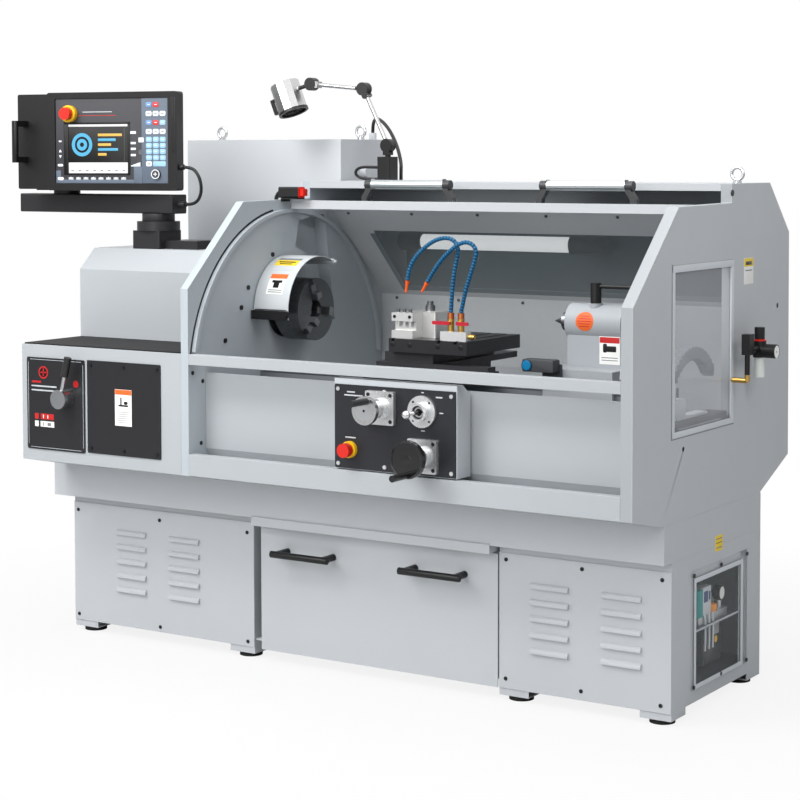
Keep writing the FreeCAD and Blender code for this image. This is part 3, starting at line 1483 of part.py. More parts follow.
def make_pendant_case():
    """Control case, storage box beside it, rear mount and the bezel round its panel."""
    case = rounded(block((0, pendant_width), (0, bezel_depth), (0, pendant_height)), 8.0, (0, 1, 0))
    housing = (0.0, pendant_width - housing_right_margin)
    case = case.fuse(block(housing, (bezel_depth - 1, pendant_depth), (0, pendant_height - housing_margin)))
    case = case.cut(block(panel_span, (-1, panel_recess), panel_levels))
    case = case.cut(block(screen_span, (-1, screen_recess), screen_levels))
    case = case.cut(block((4.0, pendant_width - 4), (11.0, bezel_depth - 4), (4.0, pendant_height - 4)))
    case = case.cut(block((4.0, housing[1] - 4), (11.0, pendant_depth - 4),
                          (4.0, pendant_height - housing_margin - 4)))
    side = rounded(block((-pendant_box_width, 0), (pendant_box_setback, pendant_depth),
                         (4.0, pendant_height - 4)),
                   6.0, (0, 1, 0))
    side = side.cut(block((-pendant_box_width + 3, -3), (pendant_box_setback + 3, pendant_depth - 3),
                          (8.0, pendant_height - 8)))
    mount = block((-70.0, 60.0), (pendant_depth - 60, pendant_mount_back), (0, 40.0))
    stop_x, stop_z = pendant_stop_place
    collar = rod((stop_x, -8.0, stop_z), (0, 1, 0), stop_collar_radius + 3, 12.0)
    dial = rod((dial_place[0], -dial_stand, dial_place[1]), (0, 1, 0), dial_radius,
               dial_stand + panel_recess)
    gland = rod((pendant_width, bezel_depth / 2, cable_gland_level), (1, 0, 0), 9.0, 12.0)
    case = join([case, side, mount, collar, dial, gland])
    case = case.cut(rod((stop_x, -9.0, stop_z), (0, 1, 0), stop_stem_radius + pin_gap, 40.0))
    half = pendant_handle_thick / 2
    across = (pendant_handle_place - half, pendant_handle_place + half)
    low = (pendant_height - pendant_handle_height) / 2
    high = low + pendant_handle_height
    front = pendant_box_setback - pendant_handle_stand
    grip = []
    for z in (low, high - pendant_handle_thick):
        grip.append(block(across, (front + half, pendant_box_setback), (z, z + pendant_handle_thick)))
    bar = rounded(block(across, (front, front + pendant_handle_thick), (low, high)), 6.0, (0, 0, 1))
    case = in_pendant(join([case, join(grip + [bar])]))
    pin = rod((*swivel_place, pendant_bottom() - swivel_height - 1), (0, 0, 1), swivel_pin_radius + pin_gap,
              swivel_height + 21 + seat_gap)
    disc = rod((*swivel_place, pendant_bottom() - swivel_height + seat_gap), (0, 0, 1), swivel_radius,
               swivel_height)
    return join([case, disc]).cut(pin)


def make_pendant_stop():
    stop_x, stop_z = pendant_stop_place
    head = rod((stop_x, 4.0 - stop_stand, stop_z), (0, 1, 0), stop_head_radius,
               stop_stand - 12 - stop_travel - seat_gap)
    stem = rod((stop_x, 8.0 - stop_stand, stop_z), (0, 1, 0), stop_stem_radius, stop_stand)
    return in_pendant(join([head, stem]))


def make_pendant_cable():
    low, high = pendant_arm_levels()
    start = (arm_right + 24.0, (arm_front + arm_back) / 2, low + 29)
    finish = pendant_place(pendant_width + 12.0, bezel_depth / 2, cable_gland_level)
    lead = pendant_place(pendant_width + 40.0, bezel_depth / 2, cable_gland_level)
    route = [start] + list(pendant_cable_route) + [lead, finish]
    return tube_along(route, pendant_cable_radius, "pendant cable")


# Work lamp
def lamp_disc(joint):
    x, z = joint
    half = lamp_disc_width / 2
    disc = rod((x, lamp_depth - half, z), (0, 1, 0), lamp_disc_radius, lamp_disc_width)
    return disc.cut(rod((x, lamp_depth - half - 1, z), (0, 1, 0), lamp_pin_radius + pin_gap,
                        lamp_disc_width + 2))


def lamp_fork(joint, towards):
    """Two cheeks with a pin, bridged on the side that faces the carrying tube."""
    x, z = joint
    half = lamp_disc_width / 2 + seat_gap
    pieces = []
    for low in (lamp_depth - half - lamp_cheek_width, lamp_depth + half):
        pieces.append(rod((x, low, z), (0, 1, 0), lamp_disc_radius, lamp_cheek_width))
    width = half + lamp_cheek_width
    pieces.append(rod((x, lamp_depth - width, z), (0, 1, 0), lamp_pin_radius, 2 * width))
    run, rise = towards[0] - x, towards[1] - z
    length = math.hypot(run, rise)
    way = (run / length, rise / length)
    side = (-way[1], way[0])
    reach = lamp_disc_radius
    corners = []
    for along, across in ((reach + 1, -10), (reach + 9, -10), (reach + 9, 10), (reach + 1, 10)):
        corners.append((x + along * way[0] + across * side[0], z + along * way[1] + across * side[1]))
    pieces.append(prism_y(corners, (lamp_depth - width, lamp_depth + width)))
    for low in (lamp_depth - half - lamp_cheek_width, lamp_depth + half):
        web = []
        for along, across in ((0, -10), (reach + 9, -10), (reach + 9, 10), (0, 10)):
            web.append((x + along * way[0] + across * side[0], z + along * way[1] + across * side[1]))
        pieces.append(prism_y(web, (low, low + lamp_cheek_width)))
    return join(pieces)


def lamp_tube(start, end, skip_start, skip_end):
    """Tube between two joints, short of each by a given length."""
    run, rise = end[0] - start[0], end[1] - start[1]
    length = math.hypot(run, rise)
    way = (run / length, rise / length)
    a = (start[0] + way[0] * skip_start, lamp_depth, start[1] + way[1] * skip_start)
    b = (end[0] - way[0] * skip_end, lamp_depth, end[1] - way[1] * skip_end)
    return bar_between(a, b, lamp_tube_radius - 0.8)


def make_lamp_base():
    depth = (lamp_depth - lamp_block_depth / 2, lamp_depth + lamp_block_depth / 2)
    top = roof_height + lamp_block_height
    body = rounded(block(lamp_block, depth, (roof_height, top)), 5.0, (0, 0, 1))
    x, z = lamp_joints[0]
    fork = lamp_fork(lamp_joints[0], (x, z - 100))
    post = rod((x, lamp_depth, top), (0, 0, 1), 9.0, lamp_post_height - 2)
    return join([body, fork, post])


def make_lamp_lower_arm():
    fork = lamp_fork(lamp_joints[1], lamp_joints[0])
    tube = lamp_tube(lamp_joints[0], lamp_joints[1], lamp_disc_radius - 2, lamp_disc_radius + 4)
    return join([lamp_disc(lamp_joints[0]), tube, fork])


def make_lamp_upper_arm():
    fork = lamp_fork(lamp_joints[2], lamp_joints[1])
    tube = lamp_tube(lamp_joints[1], lamp_joints[2], lamp_disc_radius - 2, lamp_disc_radius + 4)
    return join([lamp_disc(lamp_joints[1]), tube, fork])


def make_lamp_head():
    """Faceted shade, open at its lower end, on a short stem from the last joint."""
    a = vector(lamp_head_top[0], lamp_depth, lamp_head_top[1])
    b = vector(lamp_head_bottom[0], lamp_depth, lamp_head_bottom[1])
    way = (b - a)
    length = way.Length
    lean = math.degrees(math.atan2(way.x, -way.z))

    def drum(radius, start, height):
        corners = []
        for i in range(lamp_head_sides):
            turn = 2 * math.pi * i / lamp_head_sides
            corners.append(vector(radius * math.cos(turn), radius * math.sin(turn), -start))
        face = Part.Face(Part.makePolygon(corners + corners[:1]))
        return face.extrude(vector(0, 0, -height))

    shade = drum(lamp_head_radius, 0.0, length)
    shade = shade.cut(drum(lamp_head_radius - 3, 12.0, length))
    rim = Part.makeCylinder(lamp_head_radius + 2, 8.0, vector(0, 0, -length), vector(0, 0, 1))
    rim = rim.cut(Part.makeCylinder(lamp_head_radius - 6, 10.0, vector(0, 0, -length - 1), vector(0, 0, 1)))
    handle = block((-lamp_head_radius - 22, -lamp_head_radius - 14), (-6, 6),
                   (-length * 0.8, -length * 0.3))
    grips = [block((-lamp_head_radius - 22, -lamp_head_radius + 3), (-6, 6),
                   (-length * 0.8, -length * 0.8 + 8)),
             block((-lamp_head_radius - 22, -lamp_head_radius + 3), (-6, 6),
                   (-length * 0.3 - 8, -length * 0.3))]
    body = join([shade, rim, handle] + grips)
    body.rotate(vector(0, 0, 0), vector(0, 1, 0), -lean)
    body.translate(a)
    x, z = lamp_joints[2]
    mid = ((lamp_head_top[0] * 0.72 + lamp_head_bottom[0] * 0.28),
           (lamp_head_top[1] * 0.72 + lamp_head_bottom[1] * 0.28))
    stem = lamp_tube((x, z), mid, lamp_disc_radius - 2, lamp_head_radius - 2)
    return join([body, stem, lamp_disc(lamp_joints[2])])


def make_lamp_cables():
    return group([tube_along(lamp_cable_route, lamp_cable_radius, "lamp cable"),
                  tube_along(block_cable_route, lamp_cable_radius - 1, "block cable")])


# Drawers under the machine
def make_coolant_tank():
    """Open tank behind a wide door, with two bar handles on the door."""
    x = (tank_left + tank_side_gap, tank_right - tank_side_gap)
    bottom = runner_level + seat_gap
    tank = block(x, (0.0, tank_depth), (bottom, tank_top))
    tank = tank.cut(block((x[0] + 4, x[1] - 4), (4.0, tank_depth - 4), (bottom + 4, tank_top + 1)))
    door = block((tank_left, tank_right), (-tank_door_thick, 0.0), (panel_bottom, tray_runner_level - 4))
    pieces = [tank, door]
    for centre in handle_centres:
        low, high = centre - handle_span / 2, centre + handle_span / 2
        for x_foot in (low, high):
            pieces.append(rod((x_foot, -tank_door_thick - handle_stand, handle_level), (0, 1, 0),
                              handle_radius,
                              handle_stand))
        pieces.append(rod((low - 18, -tank_door_thick - handle_stand, handle_level), (1, 0, 0),
                          handle_radius,
                          handle_span + 36))
    return join(pieces)


def make_chip_tray():
    x = (tank_left + tank_side_gap, tank_right - tank_side_gap)
    bottom = tray_runner_level + seat_gap
    top = pedestal_top - 2
    front = plinth_front - 1
    tray = block(x, (front, 540.0), (bottom, top))
    tray = tray.cut(block((x[0] + 3, x[1] - 3), (front + 3, 537.0), (bottom + 3, top + 1)))
    lip = block((tank_left - 2, tank_right), (front - 4, front),
                (tray_runner_level + 2, tray_runner_level + 2 + tray_lip_height))
    return join([tray, lip])


nodes = {
    "pedestals": make_pedestals(),
    "levelling_feet": make_levelling_feet(),
    "plinth": make_plinth(),
    "bed": make_bed(),
    "gearbox_housing": make_gearbox_housing(),
    "gearbox_plates": make_gearbox_plates(),
    "headstock": make_headstock(),
    "headstock_cover": make_headstock_cover(),
    "drive_motor": make_drive_motor(),
    "drive_belt": make_drive_belt(),
    "front_frame": make_front_frame(),
    "left_wall": make_left_wall(),
    "right_wall": make_right_wall(),
    "clear_windows": make_clear_windows(),
    "rear_cover": make_rear_cover(),
    "work_light": make_work_light(),
    "electrical_cabinet": make_electrical_cabinet(),
    "case_fasteners": make_case_fasteners(),
    "interlock_switch": make_interlock_switch(),
    "air_regulator": make_air_regulator(),
    "lubricator": make_lubricator(),
    "lamp_base": make_lamp_base(),
    "lamp_cables": make_lamp_cables(),
    "pendant_pivot": make_pendant_pivot(),
    "door_pane": make_door_pane(),
    "door_rail": make_door_rail(),
    "chuck_guard": make_chuck_guard(),
    "spindle": make_spindle(),
    "chuck_body": make_chuck_body(),
    "chuck_jaw_1": make_chuck_jaw(0),
    "chuck_jaw_2": make_chuck_jaw(1),
    "chuck_jaw_3": make_chuck_jaw(2),
    "motor_pulley": make_motor_pulley(),
    "saddle": make_saddle(),
    "control_box": make_control_box(),
    "handwheel_z": make_handwheel_z(),
    "handwheel_x": make_handwheel_x(),
    "joystick_gimbal": make_joystick_gimbal(),
    "joystick": make_joystick(),
    "control_stop": make_control_stop(),
    "cross_slide": make_cross_slide(),
    "tool_post": make_tool_post(),
    "coolant_manifold": make_coolant_manifold(),
    "coolant_hoses": make_coolant_hoses(),
    "valve_lever_1": make_valve_lever(valve_places[0], lever_reaches[0]),
    "valve_lever_2": make_valve_lever(valve_places[1], lever_reaches[1]),
    "tailstock": make_tailstock(),
    "tail_quill": make_tail_quill(),
    "tail_wheel": make_tail_wheel(),
    "lock_lever": make_lock_lever(),
    "gear_lever": make_gear_lever(),
    "pendant_arm": make_pendant_arm(),
    "pendant_case": make_pendant_case(),
    "pendant_stop": make_pendant_stop(),
    "pendant_cable": make_pendant_cable(),
    "lamp_lower_arm": make_lamp_lower_arm(),
    "lamp_upper_arm": make_lamp_upper_arm(),
    "lamp_head": make_lamp_head(),
    "coolant_tank": make_coolant_tank(),
    "chip_tray": make_chip_tray(),
}

overall = Part.makeCompound(list(nodes.values())).BoundBox
shift = vector(-overall.Center.x, -overall.Center.y, -overall.ZMin)
print("shift", round(shift.x, 3), round(shift.y, 3), round(shift.z, 3))
for name, shape in nodes.items():
    shape.translate(shift)
    shape.exportStep("parts/" + name + ".step")
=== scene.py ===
import math
import bmesh
import bpy
import numpy as np
from mathutils import Matrix, Vector


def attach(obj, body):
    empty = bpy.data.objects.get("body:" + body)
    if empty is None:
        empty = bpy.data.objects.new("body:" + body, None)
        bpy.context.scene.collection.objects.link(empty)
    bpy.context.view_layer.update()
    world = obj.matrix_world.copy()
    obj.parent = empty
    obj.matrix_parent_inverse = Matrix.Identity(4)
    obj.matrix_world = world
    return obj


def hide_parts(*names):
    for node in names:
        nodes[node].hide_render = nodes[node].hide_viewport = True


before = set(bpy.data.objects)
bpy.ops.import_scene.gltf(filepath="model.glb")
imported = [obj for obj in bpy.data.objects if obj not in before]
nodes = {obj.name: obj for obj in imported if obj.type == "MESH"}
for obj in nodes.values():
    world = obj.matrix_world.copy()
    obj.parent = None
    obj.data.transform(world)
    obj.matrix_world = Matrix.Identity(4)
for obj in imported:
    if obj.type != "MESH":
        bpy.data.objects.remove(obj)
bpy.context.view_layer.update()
print("frame loaded")

# Lengths are millimetres from the machine's own corner: x 0 at the right wall,
# y 0 at the front of the pedestals and z 0 on the floor.
machine = dict(shiftX=1135.5, shiftY=-240.5, spindleY=235, spindleZ=1017, doorY=263, doorZ=831)

def toFrame(points):
    # a point plus the machine's shift, turned from millimetres to metres
    return (np.asarray(points, float) + (machine["shiftX"], machine["shiftY"], 0)) / 1000.0

def ink(red, green, blue):
    # a screen colour from 0 to 255 as a linear one
    part = np.array([red, green, blue]) / 255.0
    line = np.where(part <= 0.04045, part / 12.92, ((part + 0.055) / 1.055) ** 2.4)
    return (*line.tolist(), 1)

# Ways that a shape's own x, y and z turn on the machine, one row each
facings = dict(
    front=np.array([[1, 0, 0], [0, 0, 1], [0, -1, 0]], float),
    right=np.array([[0, 1, 0], [0, 0, 1], [1, 0, 0]], float),
    top=np.eye(3),
    back=np.array([[-1, 0, 0], [0, 0, 1], [0, 1, 0]], float),
)

def inScene(name, data):
    # a new object of the scene
    made = bpy.data.objects.new(name, data)
    bpy.context.scene.collection.objects.link(made)
    return made

def mathStep(operation, swapped=False):
    # what an operator between a wire and a value does: one Math node
    if swapped:
        return lambda wire, other: wire.calc(operation, other, wire)
    return lambda wire, other: wire.calc(operation, wire, other)

class Wire:
    # one socket's value, with arithmetic that adds Math nodes
    def __init__(self, paint, socket):
        self.paint = paint
        self.socket = socket

    def calc(self, operation, first, second):
        return self.paint.node("ShaderNodeMath", dict(operation=operation), {0: first, 1: second})

    __add__ = __radd__ = mathStep("ADD")
    __sub__, __rsub__ = mathStep("SUBTRACT"), mathStep("SUBTRACT", True)
    __mul__ = __rmul__ = mathStep("MULTIPLY")
    __pow__, __gt__, __lt__ = mathStep("POWER"), mathStep("GREATER_THAN"), mathStep("LESS_THAN")

    def size(self):
        return self.calc("ABSOLUTE", self, 0)

    def sine(self):
        return self.calc("SINE", self, 0)

class Paint:
    # a material in the making, with the place in machine millimetres as x, y and z
    def __init__(self, name):
        self.material = bpy.data.materials.new(name)
        self.material.use_nodes = True
        self.tree = self.material.node_tree
        self.tree.nodes.clear()
        self.place = self.node("ShaderNodeTexCoord", out="Object")
        split = self.node("ShaderNodeSeparateXYZ", {}, {0: self.place}).socket.node
        self.x = Wire(self, split.outputs[0]) * 1000 - machine["shiftX"]
        self.y = Wire(self, split.outputs[1]) * 1000 - machine["shiftY"]
        self.z = Wire(self, split.outputs[2]) * 1000.0

    def node(self, kind, settings=None, sockets=None, out=0):
        made = self.tree.nodes.new(kind)
        for key, value in (settings or {}).items():
            setattr(made, key, value)
        for key, value in (sockets or {}).items():
            if isinstance(value, Wire):
                self.tree.links.new(value.socket, made.inputs[key])
            else:
                made.inputs[key].default_value = value
        return Wire(self, made.outputs[out])

    def noise(self, scale, detail=2, stretch=(1, 1, 1)):
        spot = self.node("ShaderNodeMapping", {}, {"Vector": self.place, "Scale": stretch})
        return self.node("ShaderNodeTexNoise", {}, {"Vector": spot, "Scale": scale, "Detail": detail})

    def mix(self, share, first, second):
        return self.node("ShaderNodeMix", dict(data_type="RGBA"), {0: share, 6: first, 7: second}, out=2)

    def blend(self, share, first, second):
        return self.node("ShaderNodeMix", {}, {0: share, 2: first, 3: second})

    def ramp(self, value, low, high):
        # 0 below low, 1 above high and a straight run between
        return self.node("ShaderNodeMapRange", {}, {0: value, 1: low, 2: high, 3: 0, 4: 1})

    def zone(self, x=None, y=None, z=None, disc=None):
        # 1 inside the given spans and the disc about a line, 0 outside
        mask = None
        for value, span in ((self.x, x), (self.y, y), (self.z, z)):
            if span:
                inside = (value > span[0]) * (value < span[1])
                mask = inside if mask is None else mask * inside
        if disc:
            inside = self.ring(disc[0], disc[1]) < disc[2]
            mask = inside if mask is None else mask * inside
        return mask

    def ring(self, centre, axis):
        # distance from a line through centre along x, y or z
        across = dict(x=(self.y, self.z), y=(self.x, self.z), z=(self.x, self.y))[axis]
        first, second = across[0] - centre[0], across[1] - centre[1]
        return (first * first + second * second) ** 0.5

    def over(self, zones, tone, rough, metal):
        # each zone's colour, roughness and metal laid over those under it, with no metal unless it says so
        for where, colour, zoneRough, *zoneMetal in zones:
            mask = where(self) if callable(where) else self.zone(**where)
            tone = self.mix(mask, tone, colour)
            rough = self.blend(mask, rough, zoneRough)
            metal = self.blend(mask, metal, *(zoneMetal or [0]))
        return tone, rough, metal

    def finish(self, colour, roughness=0.5, metallic=0, height=None, depth=0.0002, coat=0, fixed=None):
        sockets = {"Base Color": colour, "Roughness": roughness, "Metallic": metallic}
        if coat:
            sockets["Coat Weight"] = coat
        if height is not None:
            sockets["Normal"] = self.node("ShaderNodeBump", {},
                                          {"Height": height, "Distance": depth, "Strength": 1})
        sockets.update(fixed or {})
        self.close(self.node("ShaderNodeBsdfPrincipled", {}, sockets))
        return self.material

    def close(self, shader):
        end = self.tree.nodes.new("ShaderNodeOutputMaterial")
        self.tree.links.new(shader.socket, end.inputs[0])

def shade(colour, share):
    # the colour made darker or lighter by a share
    return tuple(min(1, part * share) for part in colour[:3]) + (1,)

paintGloss = {"Specular IOR Level": 0.3}

def enamel(name, colour, roughness=0.42, peel=1, zones=()):
    # sprayed paint: orange peel, a slow drift of shade and faint handling marks
    paint = Paint(name)
    marks = paint.noise(34, 4, (1, 1, 0.35))
    tone = paint.mix(paint.noise(2.3, 3), shade(colour, 0.95), shade(colour, 1.04))
    tone, rough, metal = paint.over(zones, tone, roughness, 0)
    rough = rough + (marks - 0.5) * 0.16
    height = paint.noise(420, 2) * peel + paint.noise(1500, 1) * 0.3
    return paint.finish(tone, rough, metal, height, 0.00006, fixed=paintGloss)

def cutSteel(name, colour, roughness=0.3, stretch=(1, 30, 30), metallic=1, turned=None, zones=(),
             marks=0.2):
    # machined metal: long fine tool marks, or rings where it was turned
    paint = Paint(name)
    lines = paint.noise(90, 3, stretch)
    tone = paint.mix(paint.noise(9, 2), shade(colour, 0.88), colour)
    height, waves = lines, 0.0
    if turned:
        centre, axis, pitch = turned
        rings = (paint.ring(centre, axis) * (2 * math.pi / pitch)).sine()
        height, waves = lines * 0.5 + rings * 0.25, rings * 0.03
    tone, rough, metal = paint.over(zones, tone, roughness, metallic)
    rough = rough + (lines - 0.5) * marks + waves
    return paint.finish(tone, rough, metal, height, 0.00025 * marks)

def moulded(name, colour, roughness=0.4, grain=1, coat=0, zones=()):
    # moulded plastic or rubber: a fine even texture and slight wear of the gloss
    paint = Paint(name)
    cloud = paint.noise(18, 3)
    tone = paint.mix(cloud, shade(colour, 0.86), colour)
    tone, rough, metal = paint.over(zones, tone, roughness, 0)
    rough = rough + (cloud - 0.5) * 0.14
    return paint.finish(tone, rough, metal, paint.noise(900, 2), 0.00004 * grain, coat, paintGloss)

def glowing(name, colour, strength):
    # a lit face: its own light, a little uneven, under a smooth cover
    paint = Paint(name)
    cloud = paint.noise(14, 2)
    light = paint.mix(cloud, shade(colour, 0.94), colour)
    return paint.finish(shade(colour, 0.3), 0.25 + cloud * 0.1, 0,
                        fixed={"Emission Color": light, "Emission Strength": strength})

def clearSheet(name, colour, alpha, zones=(), roughness=0.06):
    # clear plastic sheet: see-through by alpha, with light wiping marks in its gloss
    paint = Paint(name)
    marks = paint.noise(26, 4, (1, 1, 0.3))
    tone = paint.mix(marks, shade(colour, 0.94), colour)
    for where, other, otherAlpha in zones:
        mask = paint.zone(**where)
        tone = paint.mix(mask, tone, other)
        alpha = paint.blend(mask, alpha, otherAlpha)
    return paint.finish(tone, roughness + marks * 0.1, 0,
                        fixed={"Alpha": alpha, "IOR": 1.45, "Specular IOR Level": 0.2})

inks = dict(grey=ink(180, 183, 186), black=ink(20, 20, 21), dark=ink(40, 41, 43), silver=ink(196, 198, 200),
            bright=ink(214, 215, 216), brass=ink(206, 166, 92), copper=ink(206, 120, 74),
            red=ink(206, 36, 22), yellow=ink(238, 184, 30), orange=ink(238, 120, 36),
            white=ink(234, 234, 230), teal=ink(20, 140, 136),
            cast=ink(104, 108, 112), plate=ink(36, 37, 41), chuck=ink(104, 106, 108), slide=ink(40, 40, 43),
            saddle=ink(44, 44, 47), screw=ink(34, 34, 36), chrome=ink(222, 222, 222))
finishes = dict()

def mixAll(kind, **table):
    # finishes of one kind, each from its name and its facts
    finishes.update((name, kind(name, *facts)) for name, facts in table.items())

mixAll(enamel, greyEnamel=[inks["grey"]], innerEnamel=[ink(170, 177, 182)],
       paleEnamel=[ink(196, 200, 204), 0.4, 0.6], darkEnamel=[ink(58, 60, 64), 0.46],
       charcoalPaint=[ink(36, 35, 37), 0.4, 1.6],
       tealPaint=[inks["teal"], 0.4, 0.8])
mixAll(moulded, blackPlastic=[inks["black"], 0.42], glossBlack=[ink(18, 18, 19), 0.16, 0.5, 0.6],
       deepBlack=[ink(12, 12, 13), 0.3, 0.4], blackRubber=[ink(24, 24, 25), 0.72, 2],
       redPlastic=[inks["red"], 0.3, 0.6, 0.3], yellowPlastic=[inks["yellow"], 0.35, 0.6],
       orangePlastic=[ink(238, 96, 30), 0.4, 0.8], orangeCap=[ink(240, 150, 40), 0.35, 0.8],
       # waistPlastic is a darker blue, painted shade for the creases between hose links
       bluePlastic=[ink(10, 96, 140), 0.36, 0.8], waistPlastic=[ink(4, 36, 58), 0.5, 0.8],
       buttonBlue=[ink(0, 112, 160), 0.4, 0.5], inkBlue=[ink(38, 54, 110), 0.4, 0.6],
       panelDark=[ink(56, 56, 60), 0.45, 0.6], panelBlue=[ink(92, 102, 116), 0.45, 0.6],
       whiteLabel=[inks["white"], 0.5, 0.5], yellowLabel=[ink(232, 200, 48), 0.5, 0.5],
       orangeLabel=[ink(228, 104, 44), 0.5, 0.5], redLabel=[ink(190, 34, 34), 0.5, 0.5],
       greyLabel=[ink(120, 124, 128), 0.5, 0.5], paleLabel=[ink(188, 192, 196), 0.5, 0.5],
       keyWhite=[ink(222, 226, 228), 0.45, 0.5], keyBlue=[ink(150, 190, 214), 0.45, 0.5],
       keyDeepBlue=[ink(112, 146, 190), 0.45, 0.5], keyRed=[ink(206, 60, 62), 0.45, 0.5],
       keyGrey=[ink(92, 96, 102), 0.45, 0.5], cordSkin=[ink(26, 26, 28), 0.5, 1.5])
mixAll(glowing, screenWhite=[ink(230, 232, 232), 0.8], screenBlue=[ink(84, 176, 216), 0.8],
       screenGold=[ink(232, 184, 84), 0.8], screenLine=[ink(96, 120, 104), 0.6])
spindleLine = (machine["spindleY"], machine["spindleZ"])
mixAll(cutSteel, satinSteel=[ink(186, 188, 190), 0.36, (4, 4, 4)],
       blackScrew=[inks["screw"], 0.36, (1, 1, 1), 0.5],
       darkSteel=[ink(112, 114, 118), 0.3, (1, 30, 30), 1, (spindleLine, "x", 1.2)],
       chromePlate=[inks["chrome"], 0.14, (1, 8, 8)])
print("finishes ready")

def gridFaces(rows, columns, closed):
    # a quad for each step along the rows and columns, the last column joined to the first where closed
    r = np.arange(rows - 1)[:, None] * columns
    c = np.arange(columns if closed else columns - 1)
    d = (c + 1) % columns
    quads = np.stack([r + c, r + d, r + columns + d, r + columns + c], axis=-1)
    return quads.reshape(-1, 4)

def layered(rings):
    # rings of the same count joined one to the next, with a cap at each end
    rings = np.asarray(rings, float)
    rows, columns = rings.shape[:2]
    first = np.arange(columns)[::-1][None]
    last = (np.arange(columns) + (rows - 1) * columns)[None]
    return rings.reshape(-1, 3), [gridFaces(rows, columns, True), first, last]

def circle(sides):
    # even angles once round
    return np.linspace(0, 2 * math.pi, sides, endpoint=False)

def turned(profile, sides=48):
    # a profile of radius and height turned about z: radius times cosine and sine, and height
    angle = circle(sides)
    profile = np.asarray(profile, float)
    radius, height = profile[:, :1], profile[:, 1:]
    rings = np.stack([radius * np.cos(angle), radius * np.sin(angle), height + 0 * angle], axis=-1)
    return layered(rings)

def outline(width, height, corner, steps=5):
    # a rounded rectangle: four quarter circles about its inner corners
    corner = max(min(corner, width / 2 - 0.01, height / 2 - 0.01), 0.01)
    quarter = np.linspace(0, math.pi / 2, steps)
    angle = np.concatenate([quarter + k * math.pi / 2 for k in range(4)])
    signX = np.repeat([1, -1, -1, 1], steps)
    signY = np.repeat([1, 1, -1, -1], steps)
    x = signX * (width / 2 - corner) + corner * np.cos(angle)
    y = signY * (height / 2 - corner) + corner * np.sin(angle)
    return np.stack([x, y], axis=-1)

edgeTurns = (0, 0.55, 1.05, 1.57)  # angles of a slab's quarter-round edge

def slab(width, height, depth, corner=1, edge=0.4, low=0, steps=5):
    # rounded rectangles from low to depth, drawn in by a quarter round at the top edge
    edge = min(edge, 0.45 * min(width, height), 0.9 * depth)
    levels = [(0, low)] + [(edge * (1 - math.cos(turn)), low + depth - edge + edge * math.sin(turn))
                             for turn in edgeTurns]
    rings = []
    for drawIn, level in levels:
        flat = outline(width - 2 * drawIn, height - 2 * drawIn, corner - drawIn, steps)
        rings.append(np.column_stack([flat, np.full(len(flat), level)]))
    return layered(rings)

def screw(radius, height):
    # a socket head: its side, rounded top edge and the hole for the key
    return turned([(radius, 0), (radius, 0.7 * height), (0.8 * radius, height), (0.4 * radius, height),
                   (0.38 * radius, 0.5 * height)], 20)

def arcStrip(low, high, inner, outer, start, end, centre, steps=24):
    # a box section swept about a line along x: centre plus radius times cosine and sine of the angle
    angle = np.radians(np.linspace(start, end, steps))[:, None]
    radius = np.array([inner, outer, outer, inner])
    along = np.array([low, low, high, high])
    first, second = centre[0] + radius * np.cos(angle), centre[1] + radius * np.sin(angle)
    return layered(np.stack([along + 0 * angle, first, second], axis=-1))

def tubeRings(path, radii, sides=16, across=(0, 1, 0)):
    # circles of the given radii about each point of a path, square to the way it goes
    path = np.asarray(path, float)
    way = np.gradient(path, axis=0)
    way /= np.linalg.norm(way, axis=1, keepdims=True)
    side = np.cross(way, across)
    side /= np.linalg.norm(side, axis=1, keepdims=True)
    rise = np.cross(side, way)
    angle = circle(sides)
    radii = np.broadcast_to(np.asarray(radii, float), len(path))[:, None, None]
    circles = np.cos(angle)[:, None] * rise[:, None] + np.sin(angle)[:, None] * side[:, None]
    return layered(path[:, None] + radii * circles)

class Assembly:
    # gathers shapes of several finishes into one piece that rides on a body
    def __init__(self, name, body, slot=None):
        self.name, self.body, self.slot = name, body, slot
        self.points, self.faces, self.marks, self.finishes, self.count = [], [], [], [], 0

    def add(self, shape, finish, at=(0, 0, 0), facing="top"):
        points, blocks = shape
        turn = facings[facing] if isinstance(facing, str) else facing
        self.points.append(points @ turn + np.asarray(at, float))
        if finish not in self.finishes:
            self.finishes.append(finish)
        for block in blocks:
            self.faces.extend((np.asarray(block) + self.count).tolist())
            self.marks.append(np.full(len(block), self.finishes.index(finish)))
        self.count += len(points)

    def bars(self, face, finish, low, depth, corner, places, steps=3):
        # slabs of one finish and depth from rows of across, up, width and height
        spot, facing = face
        for across, up, width, height in places:
            self.add(slab(width, height, depth, corner, 0.35, low, steps), finish, spot(across, up), facing)

    def lay(self, face, rows, steps=3):
        # slabs from rows of across, up, width, height, low, depth, corner and finish
        for across, up, width, height, low, depth, corner, finish in rows:
            self.bars(face, finish, low, depth, corner, [(across, up, width, height)], steps)

    def stud(self, face, places, shape, finish):
        # the same shape at each place
        spot, facing = face
        for across, up in places:
            self.add(shape, finish, spot(across, up), facing)

    def make(self, replaces=()):
        mesh = bpy.data.meshes.new(self.name)
        mesh.from_pydata(toFrame(np.concatenate(self.points)).tolist(), [], self.faces)
        for finish in self.finishes:
            mesh.materials.append(finishes[finish])
        mesh.polygons.foreach_set("material_index", np.concatenate(self.marks).astype(np.int32))
        shell = bmesh.new()
        shell.from_mesh(mesh)
        bmesh.ops.recalc_face_normals(shell, faces=shell.faces)
        shell.to_mesh(mesh)
        shell.free()
        mesh.polygons.foreach_set("use_smooth", np.ones(len(mesh.polygons), bool))
        mesh.set_sharp_from_angle(angle=math.radians(35))
        mesh.update()
        piece = inScene(self.name, mesh)
        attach(piece, self.body)
        if replaces:
            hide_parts(*replaces)
        return piece

